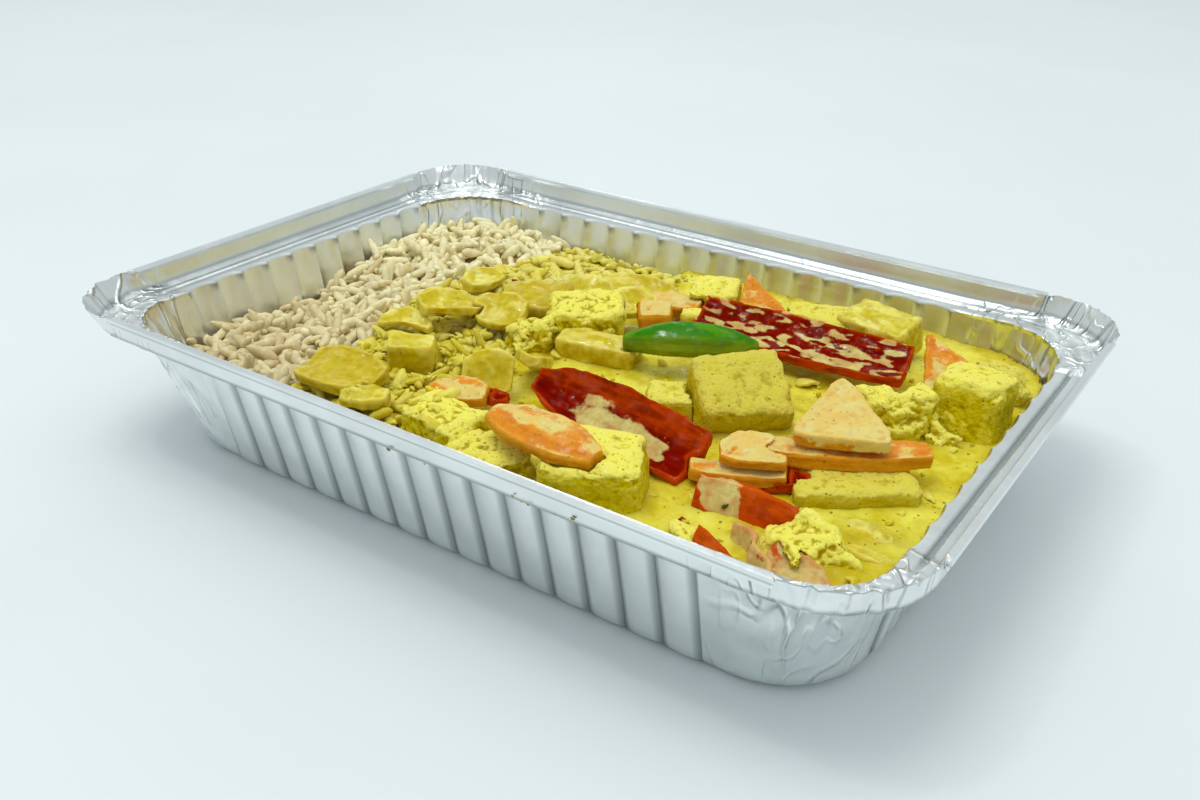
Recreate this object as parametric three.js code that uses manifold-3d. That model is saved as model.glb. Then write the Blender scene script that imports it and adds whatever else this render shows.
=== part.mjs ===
// Takeaway meal in a pressed foil tray: brown rice at one end, sauce-soaked rice and onion
// in the middle, and a yellow curry with tofu, peppers and carrots at the other end.
// Millimetres, +Z up. X runs along the tray, Y across it, and the tray stands on z = 0.

import * as THREE from 'three';
import { mergeVertices } from 'three/addons/utils/BufferGeometryUtils.js';
import { RoundedBoxGeometry } from 'three/addons/geometries/RoundedBoxGeometry.js';
import Module from 'manifold-3d';

const wasm = await Module();
wasm.setup();

// ---- driving dimensions ---------------------------------------------------------------

const TRAY_LENGTH = 220;
const TRAY_WIDTH = 152;
const TRAY_HEIGHT = 40;
const FOIL = 0.5; // wall thickness of the tray
const LEDGE_HEIGHT = 33.4; // top of the flat ledge that a lid rests on
const LEDGE_WIDTH = 8.4; // from the mouth of the well to the upright flange
const WALL_TAPER = 7; // how far each wall leans in from ledge to base
const BOTTOM_ROUNDING = 2.6; // rounded edge between the walls and the base
const WELL_RADIUS = 20; // corner radius of the well
const NEAR_SQUARING = 6; // how much smaller that radius is at the mouth of the near corners
const RIM_RADIUS = 23; // corner radius of the rim at its outermost edge
const HEM_WIDTH = 2; // flattened roll on top of the straight stretches of the flange
const HEM_HEIGHT = 1.3;
const FLANGE_LEAN = 0.7; // outward lean of the upright flange
const FLANGE_INSET = HEM_WIDTH - FLANGE_LEAN; // the hem overhangs the flange outward
const CORNER_DROP = 0.5; // the unrolled corners of the flange stop short of the hem
const NEAR_SWELL = [2.6, 0.2]; // outward flare of the left and right flange corners in front
const FAR_SWELL = [2.4, 1.8]; // and of those at the back
const CORNER_RIPPLE = 0.4; // crumpling of the flange corners

const FLUTE_PITCH_LONG = 8.97;
const FLUTES_LONG = 15;
const FLUTE_PITCH_SHORT = 8.87;
const FLUTES_SHORT = 10;
const FLUTE_DEPTH = 1.7; // outward bulge of a flute near the ledge
const FLUTE_DEPTH_LOW = [0.3, 0.9]; // and below and above the rounded bottom edge

const GAP = 0.3; // clearance between pieces that touch
const SAUCE_LEVEL = 25.2;
const RICE_LEVEL = 21.5; // top of the plain rice along the left wall
const RICE_BANK = 6; // how much higher it is heaped into the far left corner
const HEAP_RISE = 3.8; // how far the soaked rice stands above the sauce
const HEAP_CENTRE = [-38, -3];
const HEAP_SPREAD = [24, 46];
const RICE_FADE = [48, 88]; // the rice turns from soaked to plain this far left of the middle
const BULK_STEPS = 12; // across the tray

const GRAIN_LENGTH = 8;
const GRAIN_WIDTH = 2.9;
const GRAIN_SINK = 1.3; // the core of the rice lies this far below the tops of the grains
const GRAIN_SPACING_RICE = 9.6;
const GRAIN_SPACING_SOAKED = 11.5;

const WELL_HALF_X = TRAY_LENGTH / 2 - HEM_WIDTH - LEDGE_WIDTH;
const WELL_HALF_Y = TRAY_WIDTH / 2 - HEM_WIDTH - LEDGE_WIDTH;
const FLUTED_HALF_X = (FLUTES_LONG * FLUTE_PITCH_LONG) / 2;
const FLUTED_HALF_Y = (FLUTES_SHORT * FLUTE_PITCH_SHORT) / 2;

const degrees = THREE.MathUtils.degToRad;
const lerp = THREE.MathUtils.lerp;

// ---- helpers: geometry to solid and back -----------------------------------------------

function indexed(geometry) {
  geometry.deleteAttribute('uv');
  geometry.deleteAttribute('normal');
  const merged = mergeVertices(geometry, 1e-4);
  const corners = merged.index.array;
  const kept = [];
  for (let i = 0; i < corners.length; i += 3) {
    const [a, b, c] = corners.slice(i, i + 3);
    if (a !== b && b !== c && c !== a) kept.push(a, b, c);
  }
  merged.setIndex(kept);
  return merged;
}

function warp(geometry, move) {
  const position = geometry.attributes.position;
  const point = new THREE.Vector3();
  for (let i = 0; i < position.count; i++) {
    point.fromBufferAttribute(position, i);
    move(point);
    position.setXYZ(i, point.x, point.y, point.z);
  }
  return geometry;
}

function toSolid(geometry) {
  return new wasm.Manifold(new wasm.Mesh({
    numProp: 3,
    vertProperties: new Float32Array(geometry.attributes.position.array),
    triVerts: new Uint32Array(geometry.index.array),
  }));
}

function toGeometry(solid) {
  const mesh = solid.getMesh();
  const geometry = new THREE.BufferGeometry();
  geometry.setAttribute('position', new THREE.BufferAttribute(mesh.vertProperties, 3));
  geometry.setIndex(new THREE.BufferAttribute(mesh.triVerts, 1));
  geometry.computeVertexNormals();
  return geometry;
}

// The one largest body of a solid: loose scraps and sealed hollows are left out.
function largestBody(solid) {
  const bodies = solid.decompose();
  return bodies.reduce((best, body) => (body.volume() > best.volume() ? body : best));
}

// Every face of a closed geometry moved outward by the same distance.
function grown(geometry, distance) {
  const position = geometry.attributes.position;
  const index = geometry.index.array;
  const faces = Array.from({ length: position.count }, () => []);
  const corner = (i) => new THREE.Vector3().fromBufferAttribute(position, i);
  for (let i = 0; i < index.length; i += 3) {
    const [a, b, c] = [corner(index[i]), corner(index[i + 1]), corner(index[i + 2])];
    const normal = b.sub(a).cross(c.sub(a)).normalize();
    for (let k = 0; k < 3; k++) faces[index[i + k]].push(normal);
  }
  const swollen = geometry.clone();
  faces.forEach((normals, i) => {
    const mean = normals.reduce((sum, n) => sum.add(n), new THREE.Vector3()).normalize();
    const slant = Math.max(0.45, Math.min(...normals.map((n) => n.dot(mean))));
    const moved = corner(i).addScaledVector(mean, distance / slant);
    swollen.attributes.position.setXYZ(i, moved.x, moved.y, moved.z);
  });
  return swollen;
}

// ---- helpers: seeded unevenness ----------------------------------------------------------

function randomFrom(seed) {
  let state = seed * 7919 + 12345;
  return () => {
    state = (state * 1103515245 + 12345) % 2147483648;
    return state / 2147483648;
  };
}

// A smooth field of bumps between about -1 and 1 whose size is given in millimetres.
function bumpField(seed, size) {
  const random = randomFrom(seed);
  const waves = Array.from({ length: 4 }, () => ({
    direction: new THREE.Vector3(random() - 0.5, random() - 0.5, random() - 0.5).normalize(),
    phase: random() * 2 * Math.PI,
    length: size * (0.7 + 0.8 * random()),
  }));
  return (point) => waves.reduce((sum, { direction, phase, length }) =>
    sum + 0.5 * Math.sin((2 * Math.PI * direction.dot(point)) / length + phase), 0);
}

function roughen(geometry, seed, depth, size) {
  const bumps = bumpField(seed, size);
  return warp(geometry, (point) => {
    const outward = point.clone().normalize();
    point.addScaledVector(outward, depth * bumps(point));
  });
}

// ---- the foil tray -----------------------------------------------------------------------

// Closed outline of a rounded rectangle, with extra stations along its straight sides.
function roundedOutline(halfX, halfY, radius, stationsX, stationsY, cornerSteps) {
  const shape = new THREE.Shape();
  const points = [];
  const addCorner = (signX, signY, start) => {
    for (let i = 0; i <= cornerSteps; i++) {
      const angle = degrees(start + (90 * i) / cornerSteps);
      points.push(new THREE.Vector2(
        signX * (halfX - radius) + radius * Math.cos(angle),
        signY * (halfY - radius) + radius * Math.sin(angle),
      ));
    }
  };
  stationsX.forEach((x) => points.push(new THREE.Vector2(x, -halfY)));
  addCorner(1, -1, -90);
  stationsY.forEach((y) => points.push(new THREE.Vector2(halfX, y)));
  addCorner(1, 1, 0);
  stationsX.forEach((x) => points.push(new THREE.Vector2(-x, halfY)));
  addCorner(-1, 1, 90);
  stationsY.forEach((y) => points.push(new THREE.Vector2(-halfX, -y)));
  addCorner(-1, -1, 180);
  shape.setFromPoints(points);
  return shape;
}

// Four stations to a flute: the sharp groove, the two shoulders and the crown.
function fluteStations(count, pitch) {
  const stations = [];
  for (let flute = 0; flute < count; flute++) {
    for (const share of [0, 0.18, 0.5, 0.82]) {
      stations.push((flute + share - count / 2) * pitch);
    }
  }
  stations.push((count / 2) * pitch);
  return stations;
}

function fluteWave(along, count, pitch) {
  const share = along / pitch + count / 2;
  return Math.abs(Math.sin(Math.PI * share)) ** 0.6;
}

// A prism whose rings stand at the given levels. Each level has a height z, an inset from
// the mouth of the well, the depth of the flutes, and how much the near corners are squared.
// Down the short walls the outer flutes draw together, to leave room for the corners.
function well(outline, levels) {
  const geometry = new THREE.ExtrudeGeometry(outline, {
    depth: levels.length - 1,
    steps: levels.length - 1,
    bevelEnabled: false,
  });
  const flutesAlong = (x) => fluteWave(x, FLUTES_LONG, FLUTE_PITCH_LONG);
  const flutesAcross = (y) => fluteWave(y, FLUTES_SHORT, FLUTE_PITCH_SHORT);
  return indexed(warp(geometry, (point) => {
    const level = levels[Math.round(point.z)];
    const { x, y } = point;
    const onLongSide = Math.abs(x) <= FLUTED_HALF_X + GAP;
    const onShortSide = Math.abs(y) <= FLUTED_HALF_Y + GAP;
    const bulgeX = onShortSide ? level.flute * flutesAcross(y) : 0;
    const bulgeY = onLongSide ? level.flute * flutesAlong(x) : 0;
    if (!onLongSide) point.x += Math.sign(x) * (bulgeX - level.inset);
    const drawnIn = level.inset * Math.min(1, Math.abs(y) / (WELL_HALF_Y - WELL_RADIUS)) ** 3;
    point.y += Math.sign(y) * (bulgeY - drawnIn);
    if (!onLongSide && !onShortSide && y < 0) {
      const alongX = (Math.abs(x) - WELL_HALF_X + WELL_RADIUS) / WELL_RADIUS;
      const alongY = (Math.abs(y) - WELL_HALF_Y + WELL_RADIUS) / WELL_RADIUS;
      point.x += Math.sign(x) * level.squaring * (1 - alongX);
      point.y -= level.squaring * (1 - alongY);
    }
    point.z = level.z;
  }));
}

// Inset of the wall from the mouth of the well at a height above the table.
const wallInset = (z) => WALL_TAPER * (1 - z / LEDGE_HEIGHT);

// Levels of the wall for one face of the foil, from the rounded bottom edge to the mouth.
function wallLevels(thickness, top) {
  const level = (z, rounding, flute) => ({
    z: z + (rounding > 0 ? thickness : 0),
    inset: wallInset(z) + rounding + thickness,
    flute,
    squaring: (NEAR_SQUARING * z) / LEDGE_HEIGHT,
  });
  const mouth = { ...level(LEDGE_HEIGHT, 0, FLUTE_DEPTH), z: top };
  const [foot, above] = FLUTE_DEPTH_LOW;
  return [level(0, BOTTOM_ROUNDING, foot), level(BOTTOM_ROUNDING, 0, above), mouth];
}

function fluted(thickness, top) {
  const stationsX = fluteStations(FLUTES_LONG, FLUTE_PITCH_LONG);
  const stationsY = fluteStations(FLUTES_SHORT, FLUTE_PITCH_SHORT);
  const outline = roundedOutline(WELL_HALF_X, WELL_HALF_Y, WELL_RADIUS, stationsX, stationsY, 5);
  return toSolid(well(outline, wallLevels(thickness, top)));
}

// A shallow prism inside the upright flange: its foot is narrower by the lean of the
// flange, and its corners swell and ripple towards the top.
function rimPrism(thickness, bottom, top) {
  const inset = FLANGE_INSET + thickness;
  const halfX = TRAY_LENGTH / 2 - inset;
  const halfY = TRAY_WIDTH / 2 - inset;
  const radius = RIM_RADIUS - inset;
  const outline = roundedOutline(halfX, halfY, radius, [0], [0], 10);
  const prism = new THREE.ExtrudeGeometry(outline, { depth: 1, steps: 1, bevelEnabled: false });
  return toSolid(indexed(warp(prism, (point) => {
    const upper = point.z > 0.5;
    const cosine = THREE.MathUtils.clamp((Math.abs(point.x) - halfX + radius) / radius, 0, 1);
    const sine = THREE.MathUtils.clamp((Math.abs(point.y) - halfY + radius) / radius, 0, 1);
    const angle = Math.atan2(sine, cosine);
    const swell = (point.y < 0 ? NEAR_SWELL : FAR_SWELL)[point.x < 0 ? 0 : 1];
    const flare = swell + CORNER_RIPPLE * Math.sin(angle * 20);
    const outward = upper ? flare * Math.sin(2 * angle) : -FLANGE_LEAN;
    point.x += Math.sign(point.x) * outward * cosine;
    point.y += Math.sign(point.y) * outward * sine;
    point.z = upper ? top : bottom;
  })));
}

// The flattened roll along one straight stretch of the flange, rounded off at its ends.
function hemRoll(length, x, y, turn) {
  const roll = new THREE.CylinderGeometry(0.5, 0.5, length, 8, 1);
  roll.rotateY(Math.PI / 8).rotateZ(Math.PI / 2);
  const squash = 1 / Math.cos(Math.PI / 8);
  roll.scale(1, HEM_WIDTH * squash, HEM_HEIGHT * squash).rotateZ(turn);
  roll.translate(x, y, TRAY_HEIGHT - HEM_HEIGHT / 2);
  return toSolid(indexed(roll));
}

function hemRolls() {
  const offsetX = (TRAY_LENGTH - HEM_WIDTH) / 2;
  const offsetY = (TRAY_WIDTH - HEM_WIDTH) / 2;
  const alongX = TRAY_LENGTH - 2 * RIM_RADIUS;
  const alongY = TRAY_WIDTH - 2 * RIM_RADIUS;
  return [-1, 1].flatMap((side) => [
    hemRoll(alongX, 0, side * offsetY, 0),
    hemRoll(alongY, side * offsetX, 0, Math.PI / 2),
  ]);
}

function traySolid() {
  const rimTop = TRAY_HEIGHT - CORNER_DROP;
  const underside = LEDGE_HEIGHT - FOIL;
  const outside = fluted(0, underside).add(rimPrism(0, underside, rimTop));
  const inside = fluted(FOIL, LEDGE_HEIGHT).add(rimPrism(FOIL, LEDGE_HEIGHT, rimTop + 1));
  return wasm.Manifold.union([outside.subtract(inside), ...hemRolls()]);
}

// The space inside the tray that the food may fill, clear of the foil. Its near corners are
// squared a little less than the tray's, because its outline has fewer steps.
function foodSpace() {
  const outline = roundedOutline(WELL_HALF_X, WELL_HALF_Y, WELL_RADIUS, [0], [0], 4);
  const clear = FOIL + GAP;
  const rounding = BOTTOM_ROUNDING * 1.4;
  const level = (z, height, rounded) => ({
    z,
    inset: wallInset(height) + rounded + clear,
    flute: 0,
    squaring: (NEAR_SQUARING * 0.9 * height) / LEDGE_HEIGHT,
  });
  return toSolid(well(outline, [
    level(clear, 0, rounding),
    level(clear + rounding, rounding, 0),
    level(LEDGE_HEIGHT, LEDGE_HEIGHT, 0),
    level(TRAY_HEIGHT, LEDGE_HEIGHT, 0),
  ]));
}

// ---- food shapes ---------------------------------------------------------------------------

// A cut cube with worn edges and a torn, uneven surface.
function block(width, depth, height, seed, rough = 0.7, edge = 2.2) {
  return indexed(roughen(new RoundedBoxGeometry(width, depth, height, 1, edge), seed, rough, 9));
}

// A crumbled piece without flat faces.
function lump(width, depth, height, seed, rough = 0.16) {
  const ball = roughen(new THREE.IcosahedronGeometry(0.5, 1), seed, rough, 0.6);
  return indexed(ball.scale(width * 1.06, depth * 1.06, height * 1.06));
}

// A strip of flesh or skin, bent as asked: arch lifts its middle, cup lifts its long edges,
// sway curves it sideways, wave ripples it, twist turns one end against the other, and
// tips are the shares of the width left at its two ends.
function strip(length, width, thickness, bends = {}) {
  const { arch = 0, cup = 0, sway = 0, wave = 0, waves = 2, twist = 0, tips = [0.8, 0.8] } = bends;
  const { stepsX = 4, stepsY = 2 } = bends;
  const sheet = new THREE.BoxGeometry(length, width, thickness, stepsX, stepsY, 1);
  return indexed(warp(sheet, (point) => {
    const along = (2 * point.x) / length;
    const across = (2 * point.y) / width;
    const tip = along < 0 ? tips[0] : tips[1];
    const narrowing = lerp(1, tip, Math.abs(along) ** 2.4);
    point.y = point.y * narrowing + sway * (1 - along * along);
    point.z *= lerp(1, 0.75, Math.abs(across));
    point.z += arch * (1 - along * along) + cup * across * across * narrowing;
    point.z += wave * Math.sin(Math.PI * waves * along);
    const turn = degrees(twist) * along;
    const [y, z] = [point.y, point.z];
    point.y = y * Math.cos(turn) - z * Math.sin(turn);
    point.z = y * Math.sin(turn) + z * Math.cos(turn);
  }));
}

// A flat slice with three rounded corners, given where its upper face has them.
function wedgeSlice(tip, left, right, thickness) {
  const [a, b, c] = [tip, left, right].map((corner) => new THREE.Vector3(...corner));
  const alongX = c.clone().sub(b).normalize();
  const normal = alongX.clone().cross(a.clone().sub(b)).normalize();
  const alongY = normal.clone().cross(alongX);
  const middle = a.clone().add(b).add(c).divideScalar(3);
  const flat = [b, c, a].map((corner) => {
    const offset = corner.clone().sub(middle);
    return new THREE.Vector2(offset.dot(alongX), offset.dot(alongY));
  });
  const shape = new THREE.Shape();
  const between = (from, to, share) => from.clone().lerp(to, share);
  flat.forEach((corner, i) => {
    const enter = between(corner, flat[(i + 2) % 3], 0.16);
    const leave = between(corner, flat[(i + 1) % 3], 0.16);
    if (i === 0) shape.moveTo(enter.x, enter.y);
    else shape.lineTo(enter.x, enter.y);
    shape.quadraticCurveTo(corner.x, corner.y, leave.x, leave.y);
  });
  const slice = new THREE.ExtrudeGeometry(shape, {
    depth: thickness,
    curveSegments: 3,
    bevelEnabled: false,
  });
  slice.translate(0, 0, -thickness);
  const placing = new THREE.Matrix4().makeBasis(alongX, alongY, normal).setPosition(middle);
  return indexed(slice).applyMatrix4(placing);
}

// A shape set down in the tray: turn is about the upright, tilt about its own length and
// roll about its own width, in degrees.
function set(shape, x, y, z, turn = 0, tilt = 0, roll = 0) {
  const pose = new THREE.Object3D();
  pose.position.set(x, y, z);
  pose.rotation.set(degrees(tilt), degrees(roll), degrees(turn), 'ZXY');
  pose.updateMatrix();
  return shape.applyMatrix4(pose.matrix);
}

// ---- finishes --------------------------------------------------------------------------------

const finish = (color, roughness, metalness = 0) => ({ color, roughness, metalness });
const FOIL_FINISH = finish(0xc9ced0, 0.32, 1);
const RICE_FINISH = finish(0xcbc298, 0.6);
const SOAKED_FINISH = finish(0xbdb03a, 0.5);
const SAUCE_FINISH = finish(0xdcd160, 0.35);
const TOFU_FINISH = finish(0xd8d05c, 0.55);
const CARROT_FINISH = finish(0xd08a2a, 0.4);
const PEPPER_FINISH = finish(0x8e1d0c, 0.3);
const CHILLI_FINISH = finish(0x2c7200, 0.25);
const ONION_FINISH = finish(0xc9bb1c, 0.35);

// ---- the pieces on top of the heap, the ones that lie on others first ---------------------------

function carrots() {
  return {
    carrot_domed: set(strip(28, 12, 3, { arch: 2.2, cup: -1.6, tips: [0.4, 0.4], stepsY: 3 }),
      25, -54.4, 36, -4, 10, 2),
    carrot_wedge: wedgeSlice([64.5, 3, 39.4], [65.5, -26, 37.2], [86, -17, 37.2], 3.2),
    carrot_long: set(strip(34, 9, 4.2, { arch: -0.5, tips: [0.7, 0.75] }), 75.5, -17.2, 31.9, 32),
    carrot_lobe: set(strip(14, 10, 2.8, { arch: 1.2, tips: [0.5, 0.7] }), 60, -29.5, 31.9, 28, 12),
    carrot_low: set(strip(20, 7, 3.2, { tips: [0.7, 0.7] }), 58.5, -32.6, 28.4, 26),
    carrot_small: set(strip(14, 8, 3, { arch: 1, tips: [0.4, 0.6] }), -8.5, -42.3, 30.2, 25, 18),
    carrot_back: wedgeSlice([17.5, 46, 38.6], [20, 36.5, 32.5], [37, 36, 33], 3),
    carrot_right: wedgeSlice([70, 38.5, 38], [76.5, 22.5, 28.5], [85, 32, 35], 3),
    carrot_cube: set(block(9, 8, 7, 31, 0.3, 1.4), 4.8, 20.5, 30.3, 32, 14),
    carrot_stick: set(strip(14, 6, 5, { tips: [0.8, 0.6] }), 4.5, 31.5, 29.8, 12, 20),
  };
}

function peppers() {
  return {
    pepper_back: set(strip(54, 13, 3.6, { cup: 1.6, arch: -1, tips: [0.75, 0.85], stepsX: 7, stepsY: 3 }),
      44, 24.6, 32.6, 4, 27, 2),
    pepper_front: set(strip(46, 14, 3.4, { cup: 2.4, arch: 0.8, tips: [0.35, 0.95], stepsX: 7, stepsY: 3 }),
      27, -31.2, 29.8, -10, 38, 6),
    pepper_strip: set(strip(24, 7.5, 2.4, { wave: 0.7, tips: [0.9, 0.35], stepsX: 7 }),
      66.6, -42.2, 28, 1, 60, 4),
    pepper_corner: set(strip(16, 7, 3, { arch: 0.8, tips: [0.8, 0.3] }), 83.3, -53.8, 25.6, -17, 26),
    pepper_wedge: wedgeSlice([62, -54.5, 29.5], [62.5, -59.5, 25.5], [77, -60.5, 26.8], 2.6),
    pepper_curl: set(strip(18, 6, 1.8, { wave: 0.9, sway: 1, tips: [0.6, 0.8], stepsX: 7, stepsY: 1 }),
      73, -54.2, 25.8, -42, 78),
    pepper_flake: set(strip(8, 4, 1.8, { arch: 0.4 }), -2, -37.6, 29, 10, 15),
    pepper_bit: set(strip(12, 6, 3, { tips: [0.8, 0.5] }), 66.5, -29.2, 27.8, 24, 10),
  };
}

function chilli() {
  const crescent = strip(33, 9, 3.4, { arch: 4.2, cup: -1.6, tips: [0.35, 0.3], stepsX: 9, stepsY: 3 });
  return { chilli_slice: set(crescent, 23, 7.6, 32.6, 30, 36) };
}

function tofu() {
  return {
    tofu_large: set(block(22, 19, 15, 1), 43, -5, 28.3, 42, 25),
    tofu_front: set(block(21, 18, 18, 2, 0.8, 3), 35.6, -50.6, 26.6, 22, 4),
    tofu_right: set(block(17, 15, 21, 3, 0.6, 3.2), 88.4, 21, 27.8, 0, -12),
    tofu_under: set(block(27, 14, 14, 4, 0.5, 1.8), 78.6, -21.4, 22.6, 39),
    tofu_torn: set(block(19, 13, 13, 5, 1.1), -3.5, -52.2, 26.6, -6, 6),
    tofu_rim: set(block(18, 12, 12, 6, 1.2), 13, -57, 25.4, -10),
    tofu_small: set(block(12, 11, 11, 7, 0.5, 1.6), 31, -13.6, 26, 30),
    tofu_chunk: set(lump(14, 13, 18, 8), 75.8, 8.8, 28.2, 20),
    tofu_left: set(block(19, 15, 14, 9, 1.1), -8.6, 8.6, 28.6, 35, 8),
    tofu_crumbled: set(lump(12, 11, 12, 10), -16, -4.5, 27.6, 10),
    tofu_back: set(block(13, 12, 13, 11, 0.6, 1.8), 11.2, 39.4, 28.8, 18, 6),
    tofu_between: set(block(8, 6, 8, 12, 0.4, 1.2), 13, 27.4, 28, 20),
    tofu_slab: set(block(19, 12, 11, 13), 42, 40.4, 29.4, 8, 8),
    tofu_wall: set(lump(12, 13, 12, 14), 89, 38.2, 27.6),
    tofu_corner: set(lump(16, 16, 11, 15), 81.5, -45.6, 24.8, 30),
    tofu_crumb: set(lump(7.5, 5.5, 6, 16), 60.5, -56.6, 25.8, -10),
    tofu_chip: set(lump(10, 6, 8, 17), 84, 9.2, 25.6, -15),
  };
}

function onions() {
  return {
    onion_wedge: set(block(18, 13, 11, 21, 0.5, 1.6), 57, 43.6, 31.6, -8, 12),
    onion_slab: set(block(21, 9, 8, 22, 0.3, 1.4), 1, 0.2, 27.4, 12, 8),
    onion_block: set(block(12, 8, 9, 23, 0.3, 1.2), -33, -31, 28.6, 30, 6),
    onion_chunk: set(block(18, 13, 9, 24, 0.9), -26.5, 10.4, 29.4, 24, 16),
    onion_broad: set(strip(21, 14, 3.4, { cup: 0.8, arch: 0.6, tips: [0.75, 0.6], stepsY: 3 }),
      -38.5, -48.6, 28.7, 6, 14),
    onion_pointed: set(strip(19, 11, 2.8, { cup: 1.8, arch: 0.8, tips: [0.6, 0.15], stepsY: 3 }),
      -38, -9.6, 32, 66, 8, 14),
    onion_leaning: set(strip(15, 11, 3, { cup: 1, tips: [0.3, 0.7] }), -28, -3.4, 31.8, 12, 30),
    onion_round: set(strip(12, 12, 3.2, { cup: 0.8, tips: [0.6, 0.6] }), -8, -31.8, 31, 32, 52),
    onion_upright: set(strip(15, 9, 3, { cup: 1.4, tips: [0.5, 0.6] }), -3.8, -20.2, 30.6, 112, 12, 30),
    onion_petal: set(strip(16, 10, 2.4, { cup: 1.2, arch: 1, tips: [0.4, 0.5] }), -3, 19.4, 31.4, 44, 22),
    onion_thin: set(strip(18, 9, 2, { arch: 1, tips: [0.3, 0.5] }), -20, 26.4, 29.6, -8, 30),
    onion_sheet: set(strip(27, 12, 2.2, { cup: 0.8, wave: 0.6, tips: [0.5, 0.4] }), -9, 34, 29.2, 6, 22),
    onion_ring: set(strip(14, 6, 2.2, { cup: 1, arch: 1, sway: 2, tips: [0.5, 0.5] }),
      -44, -21.4, 29.8, 20, 20),
    onion_bit: set(strip(9, 7, 3.2, { arch: 1, tips: [0.5, 0.7] }), -49, -5, 30, 35, 14),
    onion_near: set(strip(11, 7, 3, { arch: 0.8, tips: [0.6, 0.5] }), -27.5, -52.6, 27.6, 30, 16),
    onion_end: set(strip(12, 8, 3, { cup: 0.8, tips: [0.5, 0.6] }), -47.5, 14, 30, 80, 14),
    onion_sliver: set(strip(11, 3.6, 2, { arch: 0.5, tips: [0.2, 0.5], stepsY: 1 }), 91, -40.4, 24.9, -2),
    onion_sunk: set(strip(12, 6, 2, { arch: 0.8, tips: [0.3, 0.4] }), 87, -33.2, 24.6, 0, 8),
  };
}

// ---- the heap of rice and the sauce ---------------------------------------------------------------

const heapBumps = bumpField(40, 38);

function heapHeight(x, y) {
  const fromX = (x - HEAP_CENTRE[0]) / HEAP_SPREAD[0];
  const fromY = (y - HEAP_CENTRE[1]) / HEAP_SPREAD[1];
  const soaked = SAUCE_LEVEL + HEAP_RISE * Math.exp(-fromX * fromX - fromY * fromY);
  const rice = RICE_LEVEL + RICE_BANK * THREE.MathUtils.smoothstep(y, -25, 55);
  const riceShare = THREE.MathUtils.smoothstep(-x, ...RICE_FADE);
  const bumps = heapBumps(new THREE.Vector3(x, y, 0));
  return lerp(soaked, rice, riceShare) + bumps * lerp(0.25, 1, riceShare);
}

// A wavering edge across the tray: where it is, how far it sways and where it is straight.
const wavering = (x, sway, fromY, rate) => (y) => x - sway * Math.sin((y - fromY) * rate);
const riceEdge = wavering(-55.5, 7.5, -22, 0.045);
const sauceEdge = wavering(-16, 8, -14, 0.05);

// A block of food from the floor of the tray to the heap's surface, between two edges. Blocks
// that meet have the same steps along their edge.
function bulk(from, to, sink, stepsX) {
  const geometry = new THREE.BoxGeometry(1, 1, 1, stepsX, BULK_STEPS, 1);
  return toSolid(indexed(warp(geometry, (point) => {
    const y = point.y * TRAY_WIDTH * 0.9;
    const x = lerp(from(y), to(y), point.x + 0.5);
    point.set(x, y, point.z > 0 ? heapHeight(x, y) - sink : 0);
  })));
}

// Grains on a jittered grid over a stretch of the heap, each half sunk in the surface.
function grains(from, to, spacing, seed) {
  const random = randomFrom(seed);
  const reachY = WELL_HALF_Y - GRAIN_LENGTH;
  const list = [];
  for (let row = -reachY; row <= reachY; row += spacing * 0.9) {
    const start = Math.max(from(row), -WELL_HALF_X + 4);
    for (let x = start + spacing / 2; x < to(row) - 1; x += spacing) {
      const grain = new THREE.SphereGeometry(0.5, 5, 3);
      grain.scale(GRAIN_WIDTH, GRAIN_LENGTH * (0.85 + 0.3 * random()), GRAIN_WIDTH);
      const atX = x + spacing * 0.5 * (random() - 0.5);
      const atY = row + spacing * 0.5 * (random() - 0.5);
      const height = heapHeight(atX, atY) - GRAIN_SINK + GRAIN_WIDTH * (0.05 + 0.25 * random());
      const turned = set(grain, atX, atY, height, 360 * random(), 24 * (random() - 0.5));
      list.push(toSolid(indexed(turned)));
    }
  }
  return list;
}

// Grains fused to their core, without the ones that would leave the space for the food or
// touch toppings and neighbours.
function heap(core, grainList, space, neighbours) {
  const outside = (grain) => !grain.subtract(space).isEmpty();
  const touching = (grain) => neighbours.some((solid) => !grain.intersect(solid).isEmpty());
  const kept = grainList.filter((grain) => !outside(grain) && !touching(grain));
  return wasm.Manifold.union([core, ...kept]);
}

// ---- fitting everything together --------------------------------------------------------------------

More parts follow.
